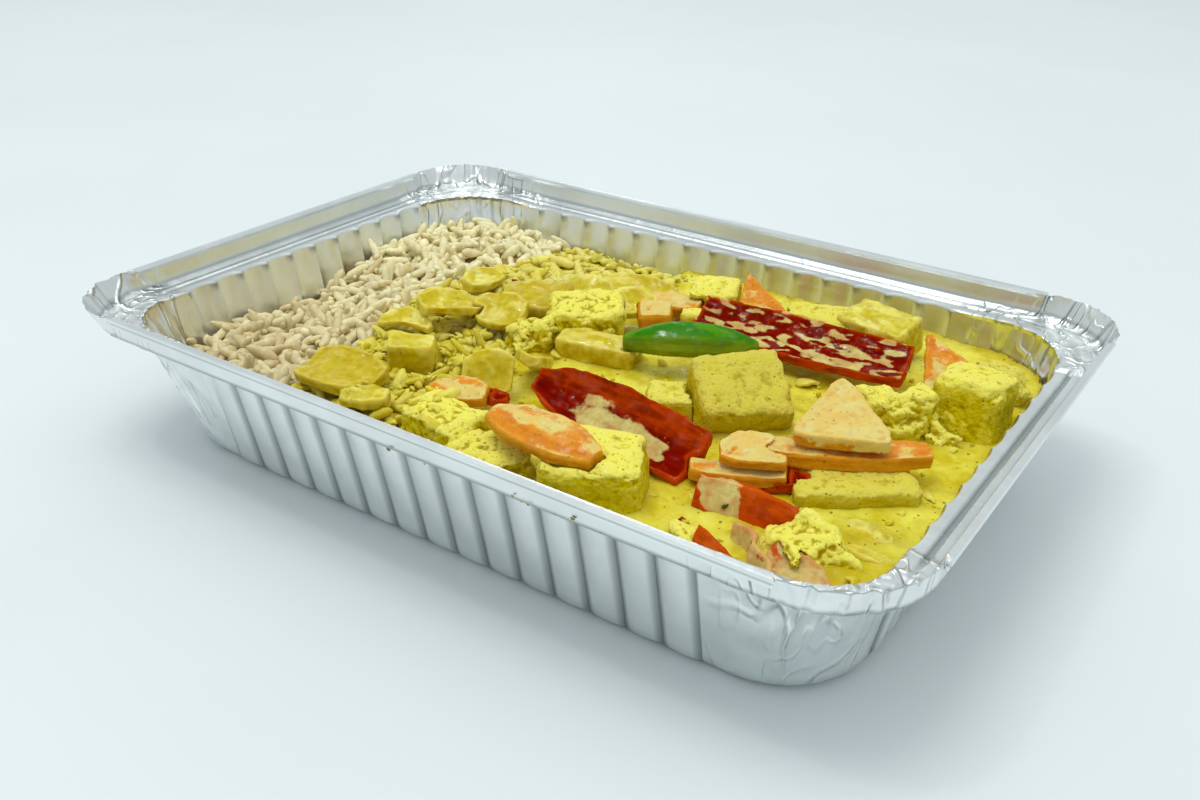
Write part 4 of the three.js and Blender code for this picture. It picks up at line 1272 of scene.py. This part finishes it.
class TRAYMEAL_OT_sauce(bpy.types.Operator):
    """Pour the curry sauce round the pieces, climbing a little where it touches them"""

    bl_idname = "traymeal.sauce"
    bl_label = "Curry sauce"

    STEP = 0.8 * MM
    DEPTH = 5 * MM
    WALL_GAP = 0.25 * MM
    UNDER_RICE = 6 * MM
    SHORE_DIP = 4 * MM
    SHORE_WIDTH = 9 * MM

    def execute(self, context):
        settings = context.scene.traymeal_sauce
        low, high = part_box("curry_sauce")
        columns = round((high.x - low.x + 8 * MM) / self.STEP)
        rows = round(2 * MOUTH_HALF[1] / self.STEP)
        bpy.ops.object.select_all(action="DESELECT")
        bpy.ops.mesh.primitive_grid_add(x_subdivisions=columns, y_subdivisions=rows, size=1)
        piece = context.active_object
        piece.name = "curry_sauce_pool"
        piece.matrix_world = Matrix.Identity(4)
        flat = points_of(piece)
        flat[:, 0] = (flat[:, 0] + 0.5) * (MOUTH_HALF[0] + 8 * MM - low.x)
        flat[:, 0] += low.x - self.UNDER_RICE
        flat[:, 1] *= 2 * MOUTH_HALF[1]
        flat[:, 2] = SAUCE_TOP
        flat = keep_inside(flat, self.WALL_GAP)
        pieces = [o for name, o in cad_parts.items()
                  if name not in ("foil_tray", "curry_sauce", "brown_rice", "soaked_rice")]
        solids = tree_of(*pieces)
        away = np.array([solids.find_nearest(Vector(point))[3] for point in flat])
        to_wall = np.maximum(wall_room(flat), 0)
        climb = np.exp(-away / (1.3 * MM)) + 0.8 * np.exp(-to_wall / (0.9 * MM))
        swell = field(flat, 12 * MM, 2.0) * 0.5 + field(flat, 5 * MM, 5.0) * 0.6
        waves = (swell + field(flat, 2.4 * MM, 9.0) * 0.45) * 0.75 * MM
        flat[:, 2] += np.minimum(climb, 1.3) * settings.climb + waves
        shore = np.array([sauce_edge(y) for y in flat[:, 1]])
        flat[:, 2] -= self.SHORE_DIP * smoothstep(shore, shore - self.SHORE_WIDTH, flat[:, 0])
        set_points(piece, flat)
        # Painted shade by the wall, round the pieces and in the hollows of the waves, partly sauce
        # gathered there.
        edge = 0.9 * np.exp(-to_wall / (1.6 * MM)) + 0.5 * np.exp(-away / (0.8 * MM))
        edge += 0.4 * smoothstep(0.0, -0.6, swell)
        set_attribute(piece, "edge", np.clip(edge, 0, 1))
        merge_doubles(piece)
        bpy.ops.object.mode_set(mode="EDIT")
        bpy.ops.mesh.select_all(action="SELECT")
        bpy.ops.mesh.extrude_region_move(TRANSFORM_OT_translate={"value": (0, 0, -self.DEPTH)})
        bpy.ops.object.mode_set(mode="OBJECT")
        set_points(piece, keep_inside(points_of(piece), self.WALL_GAP))
        face_outward(piece)
        finish_piece(piece, sauce_material(settings), "curry_sauce")
        return {"FINISHED"}


# ---- pieces of food ----------------------------------------------------------------------------


def coat(piece, cover, patch, thickness, seed, facing=0.5, blur=0.3, draw=1.0, rough=0.9,
         veil=None):
    """Leaves a film of sauce on part of a piece, more where it faces up and near the pool.

    A veil is the share of the length and of the width where the film is densest.
    """
    points, normals = points_of(piece), normals_of(piece)
    local = lengthwise(points)
    set_attribute(piece, "local", local)
    share = (local[:, :2] - local[:, :2].min(axis=0)) / np.ptp(local[:, :2], axis=0)
    local = local / patch * (1 / draw, 1, 1)
    noise.seed_set(SWIRL_SEED)
    swirl = np.array([noise.noise_vector(Vector(point)) for point in local / 1.6])
    wish = field(local + swirl * 0.7, 1.0, seed) * rough + (normals[:, 2] - 0.5) * facing
    wish += (cover - 0.5) * 2 + 0.4 * smoothstep(SAUCE_TOP + 2 * MM, SAUCE_TOP, points[:, 2])
    if veil:
        off = (share - veil[:2]) / veil[2:]
        wish += 0.9 * (1 - np.minimum(np.sum(off ** 2, axis=1), 2.2))
    film = smoothstep(-blur, blur, wish)
    set_attribute(piece, "film", film)
    set_points(piece, points + normals * (film * thickness)[:, None])


def raise_rim(piece, height, rounds=12):
    """Curls up the edges of a flat piece and lets its middle sag, and marks the edges."""
    up = smoothstep(0.3, 0.8, normals_of(piece)[:, 2])
    inner = spread(piece, up[:, None], rounds)[:, 0]
    rim = np.clip((up - inner) * 2.4, 0, 1)
    points = points_of(piece)
    points[:, 2] += (rim * 0.6 - inner ** 4 * 0.4) * height * up
    set_points(piece, points)
    set_attribute(piece, "up", up * (1 - 0.85 * rim))


def chip_edges(piece, depth, seed):
    """Knocks small chips off the sharp edges."""
    ridge = np.clip(-hollowness(piece, 12, 0.35 * MM), 0, 1)
    points = points_of(piece)
    bite = np.clip(field(points, 2.4 * MM, seed) * 1.6 + 0.2, 0, 1)
    set_points(piece, points - normals_of(piece) * (ridge * bite * depth)[:, None])


def food_piece(node, voxel, smoothing, reliefs, cover, patch, seed, thickness, facing=0.5,
               blur=0.3, draw=1.0, rough=0.9, rim=0.0, veil=None, chips=0.0, tone=0.0):
    """A solid of the frame made into soft food: rounded, roughened and coated.

    Reliefs are sizes and strengths of bumps. Cover is the share that lies under sauce, in
    patches drawn out along the piece, and facing puts more of it on top. Blur softens the
    edges of the patches and rough breaks them up. Rim curls the piece's edges up, chips knocks
    bits off them, and tone darkens all of it.
    """
    piece = copy_of(node, f"{node}_food")
    shaped(piece, "REMESH", mode="VOXEL", voxel_size=voxel)
    shaped(piece, "SMOOTH", factor=0.5, iterations=smoothing)
    raise_rim(piece, rim)
    if chips:
        chip_edges(piece, chips, seed)
    for size, strength in reliefs:
        bulge(piece, size, strength)
    coat(piece, cover, patch, thickness, seed, facing, blur, draw, rough, veil)
    set_points(piece, keep_inside(points_of(piece), 0.3 * MM))
    set_attribute(piece, "dip", hollowness(piece, 8, 0.1 * MM))
    set_attribute(piece, "tone", np.full(len(piece.data.vertices), tone))
    return piece


class TRAYMEAL_OT_tofu(bpy.types.Operator):
    """Cut and crumble the tofu"""

    bl_idname = "traymeal.tofu"
    bl_label = "Tofu"

    # Reliefs, cover of sauce and depth of the chips on the edges.
    CUT = (((9 * MM, 1.6 * MM), (3.6 * MM, 0.5 * MM), (0.9 * MM, 0.1 * MM)), 0.42, 0.9 * MM)
    TORN = (((6 * MM, 2.4 * MM), (2.8 * MM, 1.3 * MM), (1.2 * MM, 0.4 * MM)), 0.6, 0.4 * MM)
    TONE = {"large": 0.42, "right": 0.05, "under": 0.3, "slab": 0.15, "small": 0.15, "wall": 0.25}

    def execute(self, context):
        sauce = context.scene.traymeal_sauce
        toppings = context.scene.traymeal_toppings
        # Painted light: lighter tops, darker sides, painted shade in the dips and painted highlight
        # on the ridges; the sides also take up sauce.
        material = coated_material("tofu", toppings.tofu, toppings.soaked_and_shaded, sauce.gold_and_shade,
                                   (toppings.tofu, sauce.light), roughness=0.42,
                                   subsurface=0.2, crumb=0.8, scale=520.0, specks=0.3, wet=0.25,
                                   rim=srgb(240, 232, 124), rim_share=0.2)
        for i, name in enumerate(TOFU_CUT + TOFU_TORN):
            reliefs, cover, chips = self.CUT if name in TOFU_CUT else self.TORN
            node = f"tofu_{name}"
            piece = food_piece(node, 0.38 * MM, 4, reliefs, cover, 7 * MM, i * 3.7, sauce.film,
                               facing=1.8, blur=0.5, rough=0.5, tone=self.TONE.get(name, 0.0),
                               chips=chips)
            finish_piece(piece, material, node)
        return {"FINISHED"}


class TRAYMEAL_OT_carrots(bpy.types.Operator):
    """Slice the carrots, with sauce clinging to them"""

    bl_idname = "traymeal.carrots"
    bl_label = "Carrots"

    COVER = {"domed": 0.12, "wedge": 0.95, "long": 0.05, "lobe": 0.25, "low": 0.15,
             "small": 0.2, "back": 0.1, "right": 0.15, "cube": 0.3, "stick": 0.3}

    RELIEFS = ((7 * MM, 1.2 * MM), (1.6 * MM, 0.25 * MM))

    def execute(self, context):
        carrot = context.scene.traymeal_toppings.carrot
        cream = (srgb(224, 212, 128), srgb(228, 196, 104))
        material = coated_material("carrot", srgb(232, 150, 42), carrot, srgb(196, 92, 0), cream,
                                   roughness=0.22, crumb=0.25, scale=700.0, specks=0.14,
                                   film_share=0.95, fibre=(60.0, 420.0, 1100.0), wet=1.0,
                                   vein=0.3, hollow=0.3, rim=srgb(238, 176, 60), rim_share=0.2)
        for i, name in enumerate(CARROTS):
            node = f"carrot_{name}"
            piece = food_piece(node, 0.35 * MM, 7, self.RELIEFS, self.COVER[name], 4.5 * MM,
                               40 + i * 2.3, 0.1 * MM, facing=1.6, blur=0.7, draw=1.6,
                               rough=0.7, rim=0.4 * MM)
            finish_piece(piece, material, node)
        return {"FINISHED"}


class TRAYMEAL_OT_peppers(bpy.types.Operator):
    """Slice the red peppers, with streaks of sauce on their skin"""

    bl_idname = "traymeal.peppers"
    bl_label = "Red peppers"

    COVER = {"back": 0.33, "front": 0.5, "strip": 0.35, "corner": 0.55, "wedge": 0.1,
             "curl": 0.75, "flake": 0.1, "bit": 0.1}
    # The pieces with one thick veil of sauce, and where along and across them it lies.
    VEIL = {"front": (0.54, 0.42, 0.25, 0.24), "strip": (0.2, 0.6, 0.22, 0.5)}
    RIPE = ("back", "front", "flake", "bit")
    PATCH = {"back": 1.5 * MM, "front": 4 * MM}
    RELIEFS = ((6 * MM, 1.0 * MM), (2.2 * MM, 0.3 * MM))

    def execute(self, context):
        toppings = context.scene.traymeal_toppings
        kinds = []
        # Each kind's deep colour also paints shade in the dips of its pieces.
        for name, skin, deep_and_shade in (
            ("red_pepper", toppings.pepper, srgb(96, 6, 0)),
            ("orange_pepper", srgb(200, 92, 18), srgb(150, 40, 2)),
        ):
            kinds.append(coated_material(
                name, skin, toppings.flesh, deep_and_shade, (srgb(220, 210, 130), srgb(204, 168, 100)),
                roughness=0.2, crumb=0.1, scale=110.0, specks=0.02, film_share=0.93,
                fibre=(120.0, 520.0, 420.0), wet=0.7, vein=0.6, hollow=0.3,
                rim=srgb(204, 72, 6), rim_share=0.35, gloss=0.0,
            ))
        for i, name in enumerate(PEPPERS):
            node = f"pepper_{name}"
            piece = food_piece(node, 0.35 * MM, 6, self.RELIEFS, self.COVER[name],
                               self.PATCH.get(name, 2.4 * MM), 80 + i * 3.1, 0.1 * MM,
                               facing=0.6, blur=0.7, draw=2.6, rim=0.9 * MM,
                               veil=self.VEIL.get(name))
            finish_piece(piece, kinds[name not in self.RIPE], node)
        return {"FINISHED"}


class TRAYMEAL_OT_chilli(bpy.types.Operator):
    """Lay the slice of green chilli on top"""

    bl_idname = "traymeal.chilli"
    bl_label = "Green chilli"

    def execute(self, context):
        chilli = context.scene.traymeal_toppings.chilli
        material = coated_material("green_chilli", chilli, srgb(134, 150, 20), srgb(18, 84, 0),
                                   (srgb(108, 164, 22), srgb(92, 150, 8)), roughness=0.14,
                                   crumb=0.02, scale=200.0, specks=0.0, subsurface=0.2,
                                   film_share=0.5, fibre=(60.0, 300.0, 500.0), wet=0.9,
                                   vein=0.35)
        piece = food_piece("chilli_slice", 0.35 * MM, 8, ((8 * MM, 0.4 * MM),), 0.2, 3 * MM, 120,
                           0.0, facing=0.8, blur=0.6, draw=3.0)
        finish_piece(piece, material, "chilli_slice")
        return {"FINISHED"}


class TRAYMEAL_OT_onions(bpy.types.Operator):
    """Spread the soft onion pieces"""

    bl_idname = "traymeal.onions"
    bl_label = "Onions"

    TONE = {"block": 0.0, "round": 0.0, "leaning": 0.15, "wedge": 0.05, "slab": 0.2,
            "broad": 0.4, "chunk": 0.35}
    COVER = {"block": 0.2, "round": 0.0, "upright": 0.15, "broad": 0.25, "chunk": 0.1}
    RELIEFS = ((6 * MM, 1.6 * MM), (2.5 * MM, 0.3 * MM))

    def execute(self, context):
        onion = context.scene.traymeal_toppings.onion
        material = coated_material("onion", srgb(212, 196, 34), onion, srgb(184, 152, 0),
                                   (srgb(242, 236, 140), srgb(230, 220, 92)), roughness=0.18,
                                   subsurface=0.75, crumb=0.1, scale=260.0, specks=0.05,
                                   film_share=0.65, fibre=(60.0, 420.0, 300.0), wet=1.4,
                                   vein=0.15, hollow=0.35, rim=srgb(242, 236, 130),
                                   rim_share=0.3, gloss=0.12)
        for i, name in enumerate(ONIONS):
            node = f"onion_{name}"
            piece = food_piece(node, 0.34 * MM, 3, self.RELIEFS, self.COVER.get(name, 0.35),
                               4 * MM, 140 + i * 1.9, 0.12 * MM, facing=0.5, blur=0.8, draw=1.5,
                               rim=0.5 * MM, tone=self.TONE.get(name, (i % 3) * 0.06))
            finish_piece(piece, material, node)
        return {"FINISHED"}


class TRAYMEAL_OT_crumbs(bpy.types.Operator):
    """Strew curd crumbs and small onion bits over the soaked rice and round the torn tofu"""

    bl_idname = "traymeal.crumbs"
    bl_label = "Crumbs"

    BEDS = ("soaked_rice", "curry_sauce", "tofu_torn", "tofu_crumbled", "tofu_rim")
    HIGHEST = 33.5 * MM
    STEEPEST = 0.4
    # Most crumbs lie close to the plain rice, the others anywhere up to the far end.
    NEAR_SHARE = 0.6
    NEAR_SPAN = 42 * MM
    FAR_SPAN = 150 * MM

    def execute(self, context):
        toppings = context.scene.traymeal_toppings
        surface = tree_of(*(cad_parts[name] for name in self.BEDS))
        pieces = tree_of(*(o for name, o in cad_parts.items()
                           if name not in self.BEDS + ("foil_tray",)))
        random = np.random.default_rng(23)
        kinds = (
            ("curd_crumbs", "tofu", crumb_kernel, 560, 0.6, 2.1, 1, toppings.tofu,
             toppings.soaked_and_shaded),
            ("onion_bits", "onion", flake_kernel, 300, 2.4, 6.5, 3, srgb(240, 230, 108),
             toppings.onion),
        )
        for name, slot, make_kernel, count, small, large, tip, first, second in kinds:
            kernel = make_kernel()
            places, turns, sizes, tones = [], [], [], []
            while len(places) < count:
                y = random.uniform(-62, 62) * MM
                near = random.uniform(0, 1) < self.NEAR_SHARE
                span = self.NEAR_SPAN if near else self.FAR_SPAN
                x = rice_edge(y) + 4 * MM + random.uniform(0, 1) ** 1.4 * span
                size = (small + (large - small) * random.uniform(0, 1) ** 2) * MM
                turn = random.uniform(-math.pi, math.pi, 3) * (0.06 * tip, 0.06 * tip, 1)
                tone = random.uniform(0, 1)
                hit, normal = look_down(surface, x, y)
                above = look_down(pieces, x, y)[0]
                if hit is None or wall_room(np.array([hit]))[0] < size:
                    continue
                if above and above.z > hit.z:
                    continue
                if hit.z > self.HIGHEST or normal.z < self.STEEPEST:
                    continue
                places.append(hit + Vector((0, 0, 0.4 * MM)))
                turns.append(turn)
                sizes.append((size, size * random.uniform(0.55, 0.9), size * 0.75))
                tones.append(tone)
            piece = scatter(name, kernel, places, turns, sizes, tones)
            material = grain_material(name, tuple(first), tuple(second), 0.28)
            finish_piece(piece, material, "soaked_rice")
        return {"FINISHED"}


class TRAYMEAL_OT_bits(bpy.types.Operator):
    """Drop the last small bits: chips of pepper, a bit of leaf, husks and splashes on the rim"""

    bl_idname = "traymeal.bits"
    bl_label = "Small bits"

    # Places along and across the tray in mm, length in mm and direction in degrees.
    CHIPS = ((57, -51.1, 3.4, -30), (59.4, -52.6, 1.6, 20), (-34.8, 11.8, 1.8, 40))
    LEAVES = ((77.2, -39, 3.2, 10), (62, -44, 1.6, 70), (-31, -20, 1.5, 20))
    HUSKS = ((-16.8, -54.5, 2.0, 30), (-49.6, -12.4, 2.2, 70), (-41.9, -31.6, 1.9, 0),
             (-13.8, -31.6, 1.5, 50), (-45.3, -41.2, 1.6, 10), (-22, -8, 1.8, 80))
    # Places along the tray and above the table in mm on the near side of the rim.
    SPLASHES = ((33.2, 35, 0.7, 60), (35.3, 34.5, 0.4, 0), (36.8, 34.4, 0.6, 70),
                (43, 34.6, 0.4, 0), (1.4, 34.2, 1.1, 20), (47.1, 35.3, 1.0, 0),
                (11.1, 34.2, 0.5, 40), (53.2, 34.7, 0.4, 0))
    RIM_FACE = -74.62

    def execute(self, context):
        toppings = context.scene.traymeal_toppings
        sauce = context.scene.traymeal_sauce
        food = tree_of(*(o for name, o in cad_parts.items() if name != "foil_tray"))
        kinds = (
            ("pepper_chips", self.CHIPS, flake_kernel, "red_pepper", "curry_sauce",
             toppings.pepper, srgb(110, 10, 2)),
            ("leaf_bits", self.LEAVES, flake_kernel, "green_chilli", "curry_sauce",
             srgb(84, 92, 16), srgb(60, 60, 10)),
            ("husk_bits", self.HUSKS, crumb_kernel, "soaked_rice", "soaked_rice",
             srgb(112, 62, 10), srgb(84, 36, 6)),
            ("rim_splashes", self.SPLASHES, crumb_kernel, "curry_sauce", "curry_sauce",
             sauce.gold_and_shade, srgb(96, 100, 60)),
        )
        for name, bits, make_kernel, slot, node, first, second in kinds:
            places, turns, sizes = [], [], []
            for along, other, size, degrees in bits:
                if name == "rim_splashes":
                    hit, normal = Vector((along, self.RIM_FACE, other)) * MM, Vector((0, -1, 0))
                    flat = 0.3
                else:
                    hit, normal = look_down(food, along * MM, other * MM)
                    flat, hit = 0.45, hit + Vector((0, 0, 0.5 * MM))
                places.append(hit)
                turns.append(lying_turn(normal, math.radians(degrees), 0.0, 0.0))
                sizes.append((size * MM, size * 0.55 * MM, size * flat * MM))
            tones = np.linspace(0, 1, len(bits))
            piece = scatter(name, make_kernel(), places, turns, sizes, tones)
            material = grain_material(name, tuple(first), tuple(second), 0.3)
            finish_piece(piece, material, node)
        return {"FINISHED"}


# ---- the stage ---------------------------------------------------------------------------------

CAMERA_PLACE = (152.5 * MM, -221.1 * MM, 154.1 * MM)
CAMERA_YAW = 34.28
CAMERA_PITCH = 27.63
CAMERA_ROLL = 0.97


def camera_turn():
    """The camera's axes, from its compass direction, its dip and its roll in degrees."""
    yaw, pitch, roll = (math.radians(a) for a in (CAMERA_YAW, CAMERA_PITCH, CAMERA_ROLL))
    ahead = Vector((-math.sin(yaw) * math.cos(pitch), math.cos(yaw) * math.cos(pitch),
                    -math.sin(pitch)))
    level = Vector((math.cos(yaw), math.sin(yaw), 0))
    upright = level.cross(ahead)
    right = level * math.cos(roll) + upright * math.sin(roll)
    up = upright * math.cos(roll) - level * math.sin(roll)
    return Matrix((right, up, -ahead)).transposed().to_euler()


def add_softbox(name, place, size, power, tint):
    bpy.ops.object.light_add(type="AREA", location=place)
    light = bpy.context.active_object
    light.name = name
    light.data.shape = "DISK"
    light.data.size = size
    light.data.energy = power
    light.data.color = tint
    light.rotation_euler = (-Vector(place)).to_track_quat("-Z", "Y").to_euler()


class TRAYMEAL_OT_stage(bpy.types.Operator):
    """Set the pale floor, the soft lights and the camera"""

    bl_idname = "traymeal.stage"
    bl_label = "Stage"

    FLOOR_SIZE = 12
    # Lamps: place and diameter in metres, share of the key light's power, tint.
    LAMPS = {
        "key": ((-0.1, -0.16, 1.3), 0.6, 0.32, (1.0, 0.99, 0.97)),
        "glint": ((-0.36, -0.28, 1.2), 0.1, 0.08, (1, 1, 1)),
        "sheen": ((-0.66, 0.97, 0.66), 0.22, 0.05, (1, 1, 1)),
        "top": ((0.1, 0.0, 2.0), 2.6, 1.12, (1.0, 1.0, 0.99)),
    }

    def execute(self, context):
        settings = context.scene.traymeal_stage
        bpy.ops.object.select_all(action="DESELECT")
        bpy.ops.mesh.primitive_plane_add(size=self.FLOOR_SIZE)
        floor = context.active_object
        floor.name = "floor"
        floor.data.materials.append(floor_material(settings))

        world = bpy.data.worlds.new("studio")
        world.use_nodes = True
        sky = world.node_tree.nodes["Background"]
        sky.inputs["Color"].default_value = srgb(232, 240, 243)
        sky.inputs["Strength"].default_value = settings.sky
        context.scene.world = world
        context.scene.view_settings.view_transform = "Standard"

        for name, (place, size, share, tint) in self.LAMPS.items():
            add_softbox(name, place, size, settings.key_power * share, tint)

        bpy.ops.object.camera_add(location=CAMERA_PLACE, rotation=camera_turn())
        camera = context.active_object
        camera.name = "view_camera"
        camera.data.sensor_width = 36
        camera.data.lens = settings.focal_length
        camera.data.clip_start = 0.01
        context.scene.camera = camera
        return {"FINISHED"}


# ---- the add-on --------------------------------------------------------------------------------

OPERATORS = (
    TRAYMEAL_OT_stage,
    TRAYMEAL_OT_foil_tray,
    TRAYMEAL_OT_rice,
    TRAYMEAL_OT_sauce,
    TRAYMEAL_OT_tofu,
    TRAYMEAL_OT_carrots,
    TRAYMEAL_OT_peppers,
    TRAYMEAL_OT_chilli,
    TRAYMEAL_OT_onions,
    TRAYMEAL_OT_crumbs,
    TRAYMEAL_OT_bits,
)
SETTINGS = {
    "traymeal_tray": TraySettings,
    "traymeal_rice": RiceSettings,
    "traymeal_sauce": SauceSettings,
    "traymeal_toppings": ToppingSettings,
    "traymeal_stage": StageSettings,
}


class TRAYMEAL_PT_panel(bpy.types.Panel):
    bl_label = "Foil Tray Meal"
    bl_idname = "TRAYMEAL_PT_panel"
    bl_space_type = "VIEW_3D"
    bl_region_type = "UI"
    bl_category = "Tray Meal"

    def draw(self, context):
        for operator in OPERATORS:
            self.layout.operator(operator.bl_idname)
        for key in SETTINGS:
            settings = getattr(context.scene, key)
            box = self.layout.box()
            for name in settings.__annotations__:
                box.prop(settings, name)


def register():
    for settings in SETTINGS.values():
        bpy.utils.register_class(settings)
    for operator in OPERATORS:
        bpy.utils.register_class(operator)
    bpy.utils.register_class(TRAYMEAL_PT_panel)
    for key, settings in SETTINGS.items():
        setattr(bpy.types.Scene, key, bpy.props.PointerProperty(type=settings))


def unregister():
    for key in SETTINGS:
        delattr(bpy.types.Scene, key)
    bpy.utils.unregister_class(TRAYMEAL_PT_panel)
    for operator in reversed(OPERATORS):
        bpy.utils.unregister_class(operator)
    for settings in SETTINGS.values():
        bpy.utils.unregister_class(settings)


def main():
    register()
    for operator in OPERATORS:
        category, name = operator.bl_idname.split(".")
        getattr(getattr(bpy.ops, category), name)()


if __name__ == "__main__":
    main()
